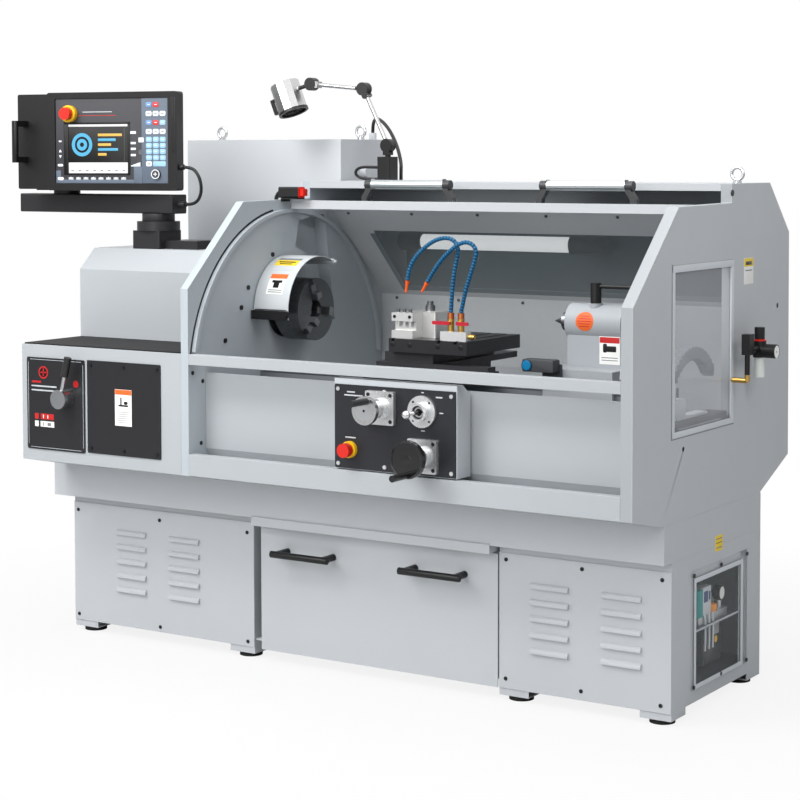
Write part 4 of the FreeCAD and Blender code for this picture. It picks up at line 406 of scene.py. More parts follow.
view = dict(place=(2171.03, -4652.08, 1464), turn=32.8, dip=0.0542, roll=-0.0018, lens=90.13, shiftY=-0.165)

def makeCamera():
    # turned about z, dipped from level and rolled a little
    camera = inScene("camera", bpy.data.cameras.new("camera"))
    camera.data.sensor_width = 36.0
    camera.data.lens = view["lens"]
    camera.data.shift_y = view["shiftY"]
    camera.data.clip_end = 100.0
    camera.matrix_world = (Matrix.Translation(toFrame(view["place"]).tolist())
                           @ Matrix.Rotation(math.radians(view["turn"]), 4, "Z")
                           @ Matrix.Rotation(math.pi / 2 - view["dip"], 4, "X")
                           @ Matrix.Rotation(view["roll"], 4, "Z"))
    bpy.context.scene.camera = camera
    bpy.context.scene.view_settings.view_transform = "Standard"

makeCamera()

lamps = (
    ("front", (-300, -6700, 3200), (-1100, 0, 800), 4200, 212),
    ("key", (-2900, -3000, 3300), (-1300, 0, 900), 2400, 74),
    ("high", (-1800, -2200, 4000), (-1700, 500, 1300), 1500, 92),
    ("side", (2400, -900, 3200), (-400, 200, 900), 1800, 40),
    ("top", (-900, 600, 4200), (-1000, 150, 900), 2600, 60))

def makeLamps():
    # round soft lamps from their place, aim, size and power, each turned from its place towards its aim
    for name, place, aim, size, power in lamps:
        light = inScene(name, bpy.data.lights.new(name, "AREA"))
        light.data.shape = "DISK"
        light.data.size = size / 1000
        light.data.energy = power
        light.location = Vector(toFrame(place).tolist())
        light.rotation_mode = "QUATERNION"
        light.rotation_quaternion = (light.location - Vector(toFrame(aim).tolist())).to_track_quat("Z", "Y")

makeLamps()

sky = dict(lighting=((0.93, 0.96, 1, 1), 0.40), seen=((1, 1, 1, 1), 1))

def makeWorld():
    # white to the camera, in reflections and through clear sheets, a dimmer blue white for lighting
    world = bpy.data.worlds.new("studio")
    bpy.context.scene.world = world
    world.use_nodes = True
    tree = world.node_tree
    tree.nodes.clear()
    make, link = tree.nodes.new, tree.links.new
    rays = make("ShaderNodeLightPath").outputs
    seen = rays["Is Camera Ray"]
    for other in ("Is Transmission Ray", "Is Glossy Ray"):
        either = make("ShaderNodeMath")
        either.operation = "MAXIMUM"
        link(seen, either.inputs[0])
        link(rays[other], either.inputs[1])
        seen = either.outputs[0]
    choose = make("ShaderNodeMixShader")
    link(seen, choose.inputs[0])
    for end, (colour, strength) in enumerate((sky["lighting"], sky["seen"]), 1):
        light = make("ShaderNodeBackground")
        light.inputs[0].default_value = colour
        light.inputs[1].default_value = strength
        link(light.outputs[0], choose.inputs[end])
    link(choose.outputs[0], make("ShaderNodeOutputWorld").inputs[0])

makeWorld()

ground = dict(reach=30, middle=(-1000, 200), near=1100, far=2300, whiteNear=0.86,
              greys=((0.60, 0.60, 0.60, 1), (0.63, 0.63, 0.63, 1)))

def makeFloor():
    # a wide flat sheet, white to the camera far off and with the machine's soft shadow near it
    reach = ground["reach"]
    mesh = bpy.data.meshes.new("floor")
    mesh.from_pydata([(-reach, -reach, 0), (reach, -reach, 0), (reach, reach, 0), (-reach, reach, 0)], [],
                     [(0, 1, 2, 3)])
    paint = Paint("floorPaint")
    plain = paint.node("ShaderNodeBsdfDiffuse", {}, {0: paint.mix(paint.noise(3, 2), *ground["greys"])})
    glow = paint.node("ShaderNodeEmission", {}, {0: (1, 1, 1, 1), 1: 1})
    seen = paint.node("ShaderNodeLightPath", out="Is Camera Ray")
    away = paint.ramp(paint.ring(ground["middle"], "z"), ground["near"], ground["far"])
    share = seen * (away * (1 - ground["whiteNear"]) + ground["whiteNear"])
    paint.close(paint.node("ShaderNodeMixShader", {}, {0: share, 1: plain, 2: glow}))
    mesh.materials.append(paint.material)
    floor = inScene("floor", mesh)

makeFloor()
print("camera, light and floor ready")

def splineCurve(name, route, radius=0):
    # a smooth curve with the route's points as its control points
    curve = bpy.data.curves.new(name, "CURVE")
    curve.dimensions = "3D"
    spline = curve.splines.new("NURBS")
    spline.points.add(len(route) - 1)
    places = np.column_stack([toFrame(route), np.ones(len(route))])
    spline.points.foreach_set("co", places.ravel())
    spline.order_u = 3
    spline.use_endpoint_u = True
    spline.resolution_u = 16
    curve.bevel_depth = radius / 1000.0
    curve.bevel_resolution = 6
    return inScene(name, curve)

def splinePoints(route):
    # the places that a smooth spline through the route gives, in frame metres
    line = splineCurve("line", route)
    mesh = bpy.data.meshes.new_from_object(line)
    places = np.zeros(len(mesh.vertices) * 3)
    mesh.vertices.foreach_get("co", places)
    bpy.data.objects.remove(line)
    bpy.data.meshes.remove(mesh)
    return places.reshape(-1, 3)

def pathLength(places):
    # the sum of the steps between the places
    return float(np.linalg.norm(np.diff(places, axis=0), axis=1).sum())

pendant = dict(corner=(-2150, 20), bottom=1369, turn=math.radians(12))
acrossCase = np.array([math.cos(pendant["turn"]), math.sin(pendant["turn"]), 0])
intoCase = np.array([-math.sin(pendant["turn"]), math.cos(pendant["turn"]), 0])
facings["case"] = np.array([acrossCase, [0, 0, 1], -intoCase])

def onCase(x, z, y=0):
    # a point of the pendant's face: along it, up it and into it
    flat = np.array([*pendant["corner"], pendant["bottom"]])
    return flat + x * acrossCase + y * intoCase + np.array([0, 0, z])

cords = dict(
    lampCable=dict(route=[(-1447, 800, 1550), (-1447, 800, 1572), (-1430, 782, 1590), (-1395, 746, 1597),
                          (-1335, 693, 1582), (-1272, 638, 1551), (-1212, 583, 1505), (-1168, 537, 1455),
                          (-1156, 517, 1426), (-1156, 517, 1397)],
                   radius=5.5, body="base", node="lamp_cables"),
    blockCable=dict(route=[(-1187, 450, 1440), (-1216, 450, 1440), (-1246, 452, 1441), (-1270, 455, 1438),
                           (-1285, 459, 1428), (-1286, 463, 1416), (-1272, 467, 1407), (-1242, 470, 1403.5),
                           (-1187, 470, 1403.5)],
                    radius=4.5, body="base", node="lamp_cables"),
    pendantCable=dict(route=[(-1713, 160, 1327), (-1688, 160, 1327), (-1662, 157, 1338), (-1645, 151, 1360),
                             (-1638, 144, 1388), (-1645, 140, 1417), tuple(onCase(493, 72, 21)),
                             tuple(onCase(465, 72, 21))],
                      radius=5, body="arm", node="pendant_cable"),
)

def makeCords():
    # each cable is one smooth curve along its solid's route
    for name, cord in cords.items():
        piece = splineCurve(name, cord["route"], cord["radius"])
        piece.data.materials.append(finishes["cordSkin"])
        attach(piece, cord["body"])
        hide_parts(cord["node"])
        length = pathLength(splinePoints(cord["route"]))

makeCords()

hoses = dict(mouths=(-717, -684), depth=90, level=1039.3, leans=(0, -0.1), radius=6.5, pitch=9,
             steps=8, bellyShare=0.72, waist=0.72, cuff=0.8, ring=0.84, ringStep=6, routes=(
                 ((0, 0), (3, 40), (6, 78), (11, 114), (20, 150), (25, 176), (15, 197), (-7, 207), (-35, 205),
                  (-65, 193), (-97, 170), (-124, 142), (-139, 111), (-143, 84)),
                 ((0, 0), (11, 40), (24, 78), (39, 114), (54, 149), (60, 175), (46, 194), (22, 198),
                  (-6, 186), (-35, 164), (-61, 140), (-85, 111), (-105, 82))))
nozzles = dict(steps=(0, 3, 3.1, 9, 9.1, 26, 34), radii=(6.4, 6.4, 5.9, 5.4, 4.6, 3.6, 3.4))

def makeHose(number, mouth, route, lean):
    # each link swells from a waist to a round belly and ends in a short cuff, wrapped in a darker blue ring
    # as painted shade in the crease between links
    radius, steps = hoses["radius"], hoses["steps"]
    flat = np.array(route, float)
    places = np.column_stack([mouth + flat[:, 0], hoses["depth"] + lean * flat[:, 1],
                              hoses["level"] + flat[:, 1]])
    line = splinePoints(places) * 1000 - (machine["shiftX"], machine["shiftY"], 0)
    run = np.concatenate([[0], np.cumsum(np.linalg.norm(np.diff(line, axis=0), axis=1))])
    links = int(run[-1] / hoses["pitch"])
    stations = np.linspace(0, run[-1], links * steps + 1)
    path = np.column_stack([np.interp(stations, run, line[:, k]) for k in range(3)])
    share = np.mod(np.arange(len(path)) / steps, 1)
    swell = np.sin(np.pi * np.clip(share / hoses["bellyShare"], 0, 1)) ** 0.6
    belly = hoses["waist"] + (1 - hoses["waist"]) * swell
    hose = Assembly("coolantHose%d" % number, "cross", "blue_plastic")
    swelling = radius * np.where(share > hoses["bellyShare"], hoses["cuff"], belly)
    hose.add(tubeRings(path, swelling, 20), "bluePlastic")
    for link in range(links):
        # painted shade: a darker blue ring over each cuff between links
        cuff = path[link * steps + hoses["ringStep"]:(link + 1) * steps + 1]
        hose.add(tubeRings(cuff, radius * hoses["ring"], 12), "waistPlastic")
    way = path[-1] - path[-2]
    way /= np.linalg.norm(way)
    tip = Assembly("hoseNozzle%d" % number, "cross")
    onward = path[-1] + np.array(nozzles["steps"])[:, None] * way
    tip.add(tubeRings(onward, nozzles["radii"], 20), "orangePlastic")
    nozzle = tip.make()
    piece = hose.make(replaces=("coolant_hoses",))

for hoseNumber, hoseFacts in enumerate(zip(hoses["mouths"], hoses["routes"], hoses["leans"]), 1):
    makeHose(hoseNumber, *hoseFacts)
print("cords and hoses ready")

def dress(finish, *names):
    # one finish, or its name, for the whole of each named CAD piece
    for name in names:
        mesh = nodes[name].data
        mesh.materials.clear()
        mesh.materials.append(finishes.get(finish, finish))

shadeEdge = dict(x=-1551, z=1701, cosine=0.9264, sine=0.3766, radius=47, depth=90.5)

def lampShade(paint):
    # the shade's back cover and its sides beyond the reflector, along and across its own line
    x, z = paint.x - shadeEdge["x"], paint.z - shadeEdge["z"]
    across = x * shadeEdge["cosine"] + z * shadeEdge["sine"]
    along = x * shadeEdge["sine"] - z * shadeEdge["cosine"]
    return paint.blend(across.size() > shadeEdge["radius"], along > shadeEdge["depth"], 1)

def leverBall(paint):
    # the gear lever's ball, beyond a line across its arm
    return (paint.x * 0.2419 + paint.z * 0.9703) > 361.0

# painted shade: the inside of the right pedestal, behind its front panel and seen through the pump's pane, is
# painted dark grey
dress(enamel("pedestalPaintShadedInside", inks["grey"], zones=(
    (dict(x=(-480, -3.5), y=(7, 575), z=(30, 408)), ink(74, 76, 80), 0.5),)), "pedestals")
dress("greyEnamel", "plinth", "chip_tray")
dress(enamel("wallPaint", inks["grey"], zones=(
    (dict(x=(-43.5, -1.5)), ink(156, 160, 163), 0.42),)), "right_wall")
dress(enamel("frontPaint", ink(166, 170, 173)), "gearbox_housing", "headstock_cover", "front_frame")
dress(enamel("cabinetPaint", ink(190, 193, 196)), "electrical_cabinet")
dress(enamel("castingPaint", ink(158, 162, 166), 0.46, 1.6), "tailstock")
# painted shade: the rear housing's inside round the work light is painted dark teal grey
dress(enamel("rearCoverShadedInside", inks["grey"], zones=(
    (dict(x=(-1300, -45), y=(560, 780), z=(1045, 1262)), ink(78, 94, 100), 0.5),)), "rear_cover")
dress("innerEnamel", "left_wall")
dress(enamel("guardPaint", ink(186, 190, 192), zones=(
    (dict(y=(55, 74.5), z=(995, 1022)), inks["black"], 0.4),)), "chuck_guard")
dress(enamel("tankPaint", inks["grey"], zones=(
    (dict(y=(-100, -4.3)), inks["black"], 0.35),)), "coolant_tank")
dress(enamel("castPaint", inks["cast"], 0.55, 2.2), "headstock", "drive_motor")
dress(enamel("saddlePaint", inks["saddle"], 0.42, 1.4), "saddle")
dress("blackRubber", "levelling_feet", "drive_belt")
dress(cutSteel("bedWays", ink(128, 130, 134), 0.34, zones=((dict(z=(0, 834)), inks["cast"], 0.55),)), "bed")
dress(enamel("gearboxPlates", inks["screw"], 0.34, 0.5, zones=(
    (dict(x=(-1664, -1599), y=(-240, -233.2), z=(692, 800)), inks["white"], 0.5),
    (dict(z=(913, 925)), ink(32, 32, 33), 0.8))), "gearbox_plates")
dress(clearSheet("clearPane", (0.9, 0.94, 0.95, 1), 0.07), "door_pane")
dress(clearSheet("windowPane", ink(62, 84, 90), 0.22, zones=(
    (dict(x=(-9, 9), z=(700, 1400)), ink(214, 216, 220), 0.2),
    (dict(x=(-9, 9), z=(0, 500)), ink(200, 206, 208), 0.07))), "clear_windows")
dress(cutSteel("fasteners", inks["screw"], 0.36, (1, 1, 1), 0.5,
               zones=((dict(z=(1396, 1600)), inks["silver"], 0.3, 1),)), "case_fasteners")
dress(moulded("switchBody", inks["black"], 0.45, zones=((dict(x=(-1331.5, -1300)), inks["red"], 0.3),)),
      "interlock_switch")
dress("charcoalPaint", "pendant_pivot", "pendant_arm")
dress(moulded("lampBase", inks["black"], 0.4), "lamp_base")
dress(enamel("casePaint", ink(14, 13, 15), 0.42, 1.4, zones=(
    (dict(x=(-2262, -2205), y=(-90, 8)), inks["black"], 0.3),)), "pendant_case")
dress("redPlastic", "pendant_stop", "control_stop")
dress(moulded("leverRed", ink(186, 34, 52), 0.35, 0.6), "valve_lever_1", "valve_lever_2")
dress("chromePlate", "tail_wheel", "joystick_gimbal")
knuckles = [((-1163, 1506), 22), ((-1250, 1679), 30), ((-1445, 1698), 22)]
dress(cutSteel("lampArms", ink(206, 206, 206), 0.24, (1, 1, 1),
               zones=[(dict(disc=(centre, "y", size)), inks["black"], 0.4) for centre, size in knuckles],
               marks=0.05),
      "lamp_lower_arm", "lamp_upper_arm")
dress(cutSteel("lampShade", ink(206, 207, 206), 0.3, (1, 1, 1), zones=((lampShade, inks["black"], 0.4),),
               marks=0.05),
      "lamp_head")
dress(cutSteel("chuckSteel", inks["chuck"], 0.3, metallic=0.75,
               turned=(spindleLine, "x", 1.2)), "chuck_body")
dress(cutSteel("jawSteel", ink(150, 152, 154), 0.3), "chuck_jaw_1", "chuck_jaw_2", "chuck_jaw_3")
dress("darkSteel", "spindle", "motor_pulley", "tail_quill")
dress(cutSteel("gearLever", inks["silver"], 0.24, (1, 1, 1), marks=0.06, zones=(
    (leverBall, inks["black"], 0.4),)), "gear_lever")
dress(cutSteel("stickChrome", inks["chrome"], 0.12, (1, 1, 1), marks=0.05,
               zones=((dict(y=(-272, -236)), inks["black"], 0.4),)), "joystick")
dress("blackPlastic", "lock_lever")
dress(moulded("blackWheel", ink(22, 21, 23), 0.24, coat=0.4), "handwheel_x")
dress(cutSteel("silverWheel", ink(214, 214, 214), 0.24, (1, 1, 1), turned=((-740, 805), "y", 1.4), marks=0.06,
               zones=((dict(y=(-400, -312.5)), inks["black"], 0.35),)), "handwheel_z")
dress(cutSteel("toolPost", ink(222, 222, 220), 0.3, (4, 4, 4), 0.7, marks=0.08, zones=(
    (dict(z=(1034, 1100)), ink(120, 122, 124), 0.3, 1),)), "tool_post")
dress(cutSteel("slideTop", inks["slide"], 0.36, (1, 30, 30), 0.4), "cross_slide")
dress(cutSteel("manifold", inks["chrome"], 0.32, (4, 4, 4), 0.6, marks=0.08, zones=(
    (dict(z=(986.2, 1022)), inks["brass"], 0.26, 1), (dict(z=(1022, 1045)), inks["copper"], 0.3, 1),
    (dict(x=(-659.8, -630)), inks["brass"], 0.3, 1))), "coolant_manifold")
dress(enamel("controlBox", ink(182, 186, 190), 0.4, 1, zones=(
    (dict(x=(-891.5, -509.5), y=(-227.2, -223.9), z=(633.5, 860.5)), inks["plate"], 0.34),
    (dict(y=(-300, -227.15)), inks["bright"], 0.28, 0.8),
    (dict(x=(-870, -812), y=(-300, -227.1)), inks["yellow"], 0.35))), "control_box")
brackets = [(-1131, -1097), (-850, -816), (-544, -510), (-268, -234)]
dress(cutSteel("railMetal", ink(196, 202, 204), 0.3, (30, 1, 1), zones=[
    (dict(x=span, z=(1341.5, 1420)), inks["dark"], 0.45) for span in brackets]
    + [(dict(z=(1300, 1341.5)), inks["grey"], 0.42)]), "door_rail")
dress(moulded("regulatorParts", inks["black"], 0.4, zones=(
    (dict(z=(968, 973), y=(438, 480)), inks["red"], 0.3),
    (dict(z=(869, 923), y=(440, 480)), ink(206, 210, 206), 0.2),
    (dict(x=(94.4, 97), disc=((458, 940), "x", 17)), inks["white"], 0.4),
    (dict(x=(94.4, 97), disc=((458, 940), "x", 2.5)), inks["black"], 0.4),
    (dict(y=(350, 400), z=(850, 882)), inks["brass"], 0.3, 1))), "air_regulator")
dress(moulded("oilPump", ink(70, 72, 74), 0.4, zones=(
    (dict(z=(222, 250)), ink(150, 152, 152), 0.4, 0.6),
    (dict(z=(250, 265), y=(296, 332)), inks["orange"], 0.35),
    (dict(z=(250, 315), y=(199, 245)), inks["teal"], 0.45),
    (dict(z=(250, 315), y=(245, 293)), ink(176, 178, 182), 0.45),
    (dict(z=(282, 306), y=(252, 286), x=(-55.5, -54)), ink(40, 60, 120), 0.4),
    (dict(z=(240, 284), y=(360, 404)), inks["black"], 0.4),
    (dict(x=(-56.5, -55), disc=((383, 262), "x", 16)), inks["white"], 0.3),
    (dict(z=(93, 216), y=(293, 410)), ink(52, 54, 54), 0.3),
    (dict(x=(-41, -39), y=(352, 392), z=(166, 210)), ink(170, 172, 172), 0.5),
    (dict(x=(-41, -39), disc=((372, 152), "x", 10)), inks["yellow"], 0.4))), "lubricator")

litTube = dict(x=(-1175, -650), y=(650, 708), z=(1180, 1232))

def dressLight():
    # the lit tube between its two black end caps
    paint = Paint("workLight")
    tube = paint.zone(**litTube)
    tone, rough, metal = paint.over([(litTube, inks["white"], 0.3)], inks["black"], 0.4, 0)
    grain = paint.noise(900, 2)
    light = paint.mix(tube, (0, 0, 0, 1), ink(244, 248, 250))
    paint.finish(tone, rough + grain * 0.05, metal, grain, 0.00003,
                 fixed={"Emission Color": light, "Emission Strength": 0.9})
    dress(paint.material, "work_light")

dressLight()
print("CAD pieces dressed")

def atFront(y):
    # spots on a face that looks forward, from across and up
    return lambda across, up: (across, y, up), "front"

def atEnd(x):
    # spots on a face that looks right
    return lambda across, up: (x, across, up), "right"

def atLevel(z):
    # spots on a level face
    return lambda across, up: (across, up, z), "top"

def atCase(y=0):
    # spots on the pendant's face
    return lambda across, up: onCase(across, up, y), "case"

def piece(name, body, slot=None):
    # makes a piece that the function below it fills
    def build(fill):
        made = Assembly(name, body, slot)
        fill(made)
        made.make()
        return fill
    return build

keys = dict(columns=(355.2, 379.1, 402.6), softKeys=[81.8 + 26.4 * index for index in range(8)], rows=(
    (263.7, ("keyDeepBlue", "keyRed", None)), (236.1, ("keyWhite",) * 3),
    (208.8, ("keyDeepBlue", "keyRed", "keyBlue")), (181.2, ("keyWhite",) * 3), (157.2, ("keyBlue",) * 3),
    (138.5, ("keyBlue",) * 3), (119.9, ("keyBlue",) * 3), (101.2, ("keyBlue",) * 3),
    (82.6, ("keyWhite", None, None))))
knob, collar = (380, 51), (80, 238)

@piece("pendantFace", "pendant", "plate")
def pendantFace(face):
    # panel, keys, ribs, knob and the stop's collar
    case, back = atCase(), atCase(-4)
    face.lay(case, [
        (224.5, 153.5, 391, 261, -4, 0.5, 3, "panelDark"), (375, 153.5, 90, 261, -3.6, 0.4, 2, "panelBlue"),
        (37.5, 48, 17, 28, -3.6, 0.4, 2, "panelBlue")])
    face.bars(case, "panelBlue", -3.6, 0.4, 1, [(166, 28.3, 274, 11.4), (317, 48.5, 30, 52)])
    face.bars(case, "deepBlack", -3.6, 1.8, 1, [
        (66, 130, 16, 163), (286, 130, 8, 163), (174, 208.4, 232, 6.8), (174, 51.2, 232, 5.4)])
    face.lay(case, [(176, 243, 104, 2.4, -3.5, 0.3, 0.6, "paleLabel"),
                    (176, 232, 132, 1.6, -3.5, 0.3, 0.4, "redLabel")], 2)
    for up, row in keys["rows"]:
        for across, finish in zip(keys["columns"], row):
            if finish:
                face.bars(case, finish, -3.3, 1.3, 3, [(across, up, 20, 15.5)], 2)
                mark = "keyGrey" if finish == "keyWhite" else "keyWhite"
                face.bars(case, mark, -2, 0.15, 0.5, [(across, up, 9, 2.2)], 2)
    face.lay(case, [
        (391, 82.6, 43, 15.5, -3.3, 1.3, 3, "keyBlue"), (328.5, 155.7, 18, 15, -3.2, 1.2, 2, "keyWhite"),
        (44.8, 78.6, 20, 8, -3.4, 0.9, 4, "keyWhite"), (45.6, 36.7, 22, 10, -3.2, 0.9, 5, "keyWhite")])
    face.bars(case, "keyWhite", -3.4, 0.9, 1, [
        (300.9, 178.7, 19, 8.5), (300.9, 146.4, 17, 7), (300.9, 128.5, 17, 7), (300.9, 109.5, 17, 7),
        (44.8, 152.9, 10, 4.5)])
    up, down = facings["case"][[1, 0, 2]] * [[1], [-1], [1]], facings["case"][[1, 0, 2]] * [[-1], [1], [1]]
    arrow = turned([(6, 0), (6, 0.9)], 3)
    face.add(arrow, "keyWhite", onCase(44.8, 122, 3.4), up)
    face.add(arrow, "keyWhite", onCase(44.8, 106.6, 3.4), down)
    wedge = layered([[(-16, -6, z), (16, -6, z), (16, 7, z), (-16, -3.5, z)] for z in (-3.4, -2.6)])
    face.stud(case, [(309, 80.8)], wedge, "keyWhite")
    face.stud(atCase(3.4), [(327.6, 118.4)], turned([(8, 0), (8, 1), (5, 1), (4.8, 0.4)], 24), "keyGrey")
    for across in keys["softKeys"]:
        face.bars(case, "paleLabel", -3.5, 0.9, 1, [(across, 37.2, 17, 7.5)], 2)
        face.add(turned([(4.6, 0), (4.6, 0.5)], 3), "keyWhite", onCase(across, 38.4, 2.6), up)
    face.bars(case, "charcoalPaint", 0, 1, 1, [(across, 202, 2.4, 168) for across in (434, 440, 446)], 2)
    face.stud(back, [knob], turned([(14.6, 0), (14.6, 0.7), (12, 0.7)], 40), "keyWhite")
    face.stud(back, [knob], turned([(11.6, 0), (11.6, 0.9)], 40), "panelDark")
    face.bars(atCase(-4.9), "keyWhite", 0, 0.3, 0.6, [(*knob, 13, 2.6), (*knob, 2.6, 13)])
    rim = [(26.2, 0), (26.2, 15), (24.6, 17.2), (22, 17.6), (19.8, 17.6), (19.6, 12)]
    face.stud(atCase(4), [collar], turned(rim, 56), "yellowPlastic")

dial = dict(centre=(122, 142), rings=(
    (36, "screenBlue"), (25, "deepBlack"), (18, "screenBlue"), (7, "deepBlack")))
chart = dict(left=178, top=172, step=15, bars=(
    (84, "screenGold"), (62, "screenBlue"), (46, "screenGold"), (70, "screenBlue"), (30, "screenGold")))

@piece("pendantScreen", "pendant", "plate")
def pendantScreen(screen):
    # a generic gauge of rings and bars between two pale strips, each lit by itself
    case = atCase()
    screen.lay(case, [(178, 129.5, 208, 151, -3.5, 0.4, 0.5, "deepBlack")])
    screen.bars(case, "screenWhite", -3.1, 0.25, 0.4, [(178, 201.3, 207, 6.8), (178, 70.4, 207, 33)])
    for size, finish in dial["rings"]:
        plate = turned([(size, 0), (size, 0.2 + (40 - size) * 0.01)], 44)
        screen.stud(atCase(3.1), [dial["centre"]], plate, finish)
    for index, (width, finish) in enumerate(chart["bars"]):
        place = (chart["left"] + width / 2, chart["top"] - chart["step"] * index, width, 8)
        screen.bars(case, finish, -3.1, 0.25, 1, [place], 2)
    screen.bars(case, "screenLine", -3.1, 0.2, 0.2, [(270, 142, 0.9, 100)], 2)
    screen.bars(case, "greyLabel", -2.85, 0.12, 0.4, [(88 + 25.7 * index, 62, 9, 3) for index in range(8)], 2)

print("pendant ready")
silverWheel = dict(spot=(-740, 805), front=-312, rim=((27, 0), (27, 0.5), (25.8, 0.5), (25.6, 0.05)),
                   middle=((3.6, 0), (3.6, 0.6), (0.4, 0.6)))

@piece("silverWheelFace", "wheel_z", "chrome")
def silverWheelFace(face):
    # a raised rim and the middle, turned on the wheel's front face
    front, spot = atFront(silverWheel["front"]), [silverWheel["spot"]]
    face.stud(front, spot, turned(silverWheel["rim"], 48), "satinSteel")
    face.stud(front, spot, turned(silverWheel["middle"], 20), "blackScrew")

blackWheel = dict(spot=(-607, 686), front=-312, middle=((13, 0), (12.4, 0.8), (0.4, 1)), rim=(
    (50, 0), (50, 1), (48.6, 2.4), (46.2, 2.6), (44.4, 1.4), (44, 0.1)))

@piece("blackWheelFace", "wheel_x", "black_plastic")
def blackWheelFace(face):
    # the same on the black wheel, its rim rounded
    front, spot = atFront(blackWheel["front"]), [blackWheel["spot"]]
    face.stud(front, spot, turned(blackWheel["rim"], 64), "glossBlack")
    face.stud(front, spot, turned(blackWheel["middle"], 32), "glossBlack")

gripFacts = dict(spot=(-1326, 1009.5), back=75, width=128, height=31, depth=12.5, corner=15, edge=5)

@piece("guardGrip", "guard", "black_plastic")
def guardGrip(grip):
    # the guard's rounded black grip, round the strip of its sheet
    spot, back, *sizes = gripFacts.values()
    grip.stud(atFront(back), [spot], slab(*sizes, steps=8), "blackPlastic")

endPane = dict(low=-3, high=385, bottom=749, top=1192)
pumpPane = dict(low=137, high=443, bottom=76, top=359)

@piece("windowFrames", "base")
def windowFrames(frames):
    # pale sealing strips round the end pane and the oil pump's pane
    low, high, bottom, top = endPane.values()
    middle, level, wide, tall = (low + high) / 2, (bottom + top) / 2, high - low, top - bottom
    wall, pumpWall = atEnd(0), atEnd(4)
    frames.bars(wall, "paleEnamel", -3, 4.2, 2, [(low + 7, level, 14, tall), (high - 9, level, 18, tall)])
    frames.bars(wall, "paleEnamel", -3, 4.4, 2, [
        (middle, top - 9, wide, 18), (middle, bottom + 7, wide, 14)])
    frames.bars(wall, "greyLabel", 0, 0.8, 1, [
        (middle, bottom - 3, wide + 8, 2), (low - 4, level, 2, tall + 8)])
    low, high, bottom, top = pumpPane.values()
    middle, level, wide, tall = (low + high) / 2, (bottom + top) / 2, high - low + 12, top - bottom
    frames.bars(pumpWall, "paleEnamel", 0, 1.6, 2, [(low, level, 10, tall), (high, level, 14, tall)])
    frames.bars(pumpWall, "paleEnamel", 0, 1.8, 2, [(middle, top, wide, 12), (middle, bottom, wide, 12)])

sightTubes = dict(across=(236, 262, 286), path=((-12.5, 246), (-11, 232), (-11, 205), (-11, 175), (-12, 150)),
                  radii=(3, 3.2, 3.2, 3.2, 3))

@piece("oilPumpFront", "base", "aluminium")
def oilPumpFront(pump):
    # the pump's front, filler cap, gauge and sight tubes
    deck, gauge = atLevel(242), [(372, 281)]
    pump.bars(atLevel(222), "satinSteel", 0, 20, 5, [(-33, 300, 34, 190)])
    pump.lay(deck, [(-36, 222, 34, 36, 0, 72, 2, "tealPaint"), (-36, 266, 34, 52, 0, 76, 2, "paleEnamel")])
    pump.bars(atEnd(-19), "inkBlue", 0, 0.5, 1, [(258, 292, 26, 30), (281, 292, 10, 24)])
    cap = [(17, 0), (17, 5), (19, 5.4), (19, 17), (16.5, 19.5), (0.4, 19.5)]
    pump.stud(deck, [(-34, 316)], turned(cap, 24), "orangeCap")
    rim = [(19, 0), (21, 1.5), (21, 20), (19, 22), (17.6, 22), (17.4, 20.6)]
    pump.stud(atEnd(-44), gauge, turned(rim, 36), "blackPlastic")
    pump.stud(atEnd(-23.6), gauge, turned([(17.2, 0), (17.2, 0.6)], 36), "whiteLabel")
    pump.stud(atLevel(241), [(-34, 372)], turned([(8, 0), (8, 20)], 20), "satinSteel")
    for across in sightTubes["across"]:
        path = [(x, across, z) for x, z in sightTubes["path"]]
        pump.add(tubeRings(path, sightTubes["radii"], 12), "paleEnamel")

@piece("pedestalShadeSheet", "base")
def pedestalShadeSheet(pan):
    # a thin dark sheet under the pump's tank, painted shade on the pedestal's floor
    pan.bars(atLevel(62), "darkEnamel", 0, 3, 3, [(-240, 290, 470, 560)])

limitBox = dict(foot=(-400, 884), footFront=97.4, body=(-425, 908), bodyBack=94, button=(-458, 908),
                buttonBack=58, cap=((14, 0), (14, 2), (12, 4), (0.4, 4.4)), collar=((16, 0), (16, 1.4)))

@piece("tailBox", "tail")
def tailBox(box):
    # the dark limit box on the tailstock's foot, with its bracket and its round blue button
    box.stud(atFront(limitBox["footFront"]), [limitBox["foot"]], slab(60, 56, 4, 3, 1), "darkEnamel")
    box.stud(atFront(limitBox["bodyBack"]), [limitBox["body"]], slab(96, 34, 36, 4, 2), "darkEnamel")
    button, spot = atFront(limitBox["buttonBack"]), [limitBox["button"]]
    box.stud(button, spot, turned(limitBox["cap"], 32), "buttonBlue")
    box.stud(button, spot, turned(limitBox["collar"], 32), "blackPlastic")

chain = dict(centre=(210, 800), radius=150, turns=np.radians(np.linspace(178, 40, 19)))

@piece("endContents", "base")
def endContents(inside):
    # a bow of cable chain and boxes behind the end pane, on a bracket from the end wall
    bow = np.column_stack([np.cos(chain["turns"]), np.sin(chain["turns"])])
    links = chain["centre"] + chain["radius"] * bow
    inside.stud(atEnd(-60), links, slab(21, 34, 26, 4, 2, 0, 3), "greyLabel")
    inside.add(arcStrip(-66, -60, 138, 162, 38, 180, chain["centre"], 30), "darkEnamel")
    inside.lay(atEnd(-62), [
        (90, 806, 120, 60, 0, 30, 3, "paleEnamel"), (186, 778, 190, 24, 0, 34, 3, "paleEnamel"),
        (60, 860, 60, 44, 0, 30, 3, "paleEnamel"), (200, 775, 330, 16, -6, 58, 2, "darkEnamel")])

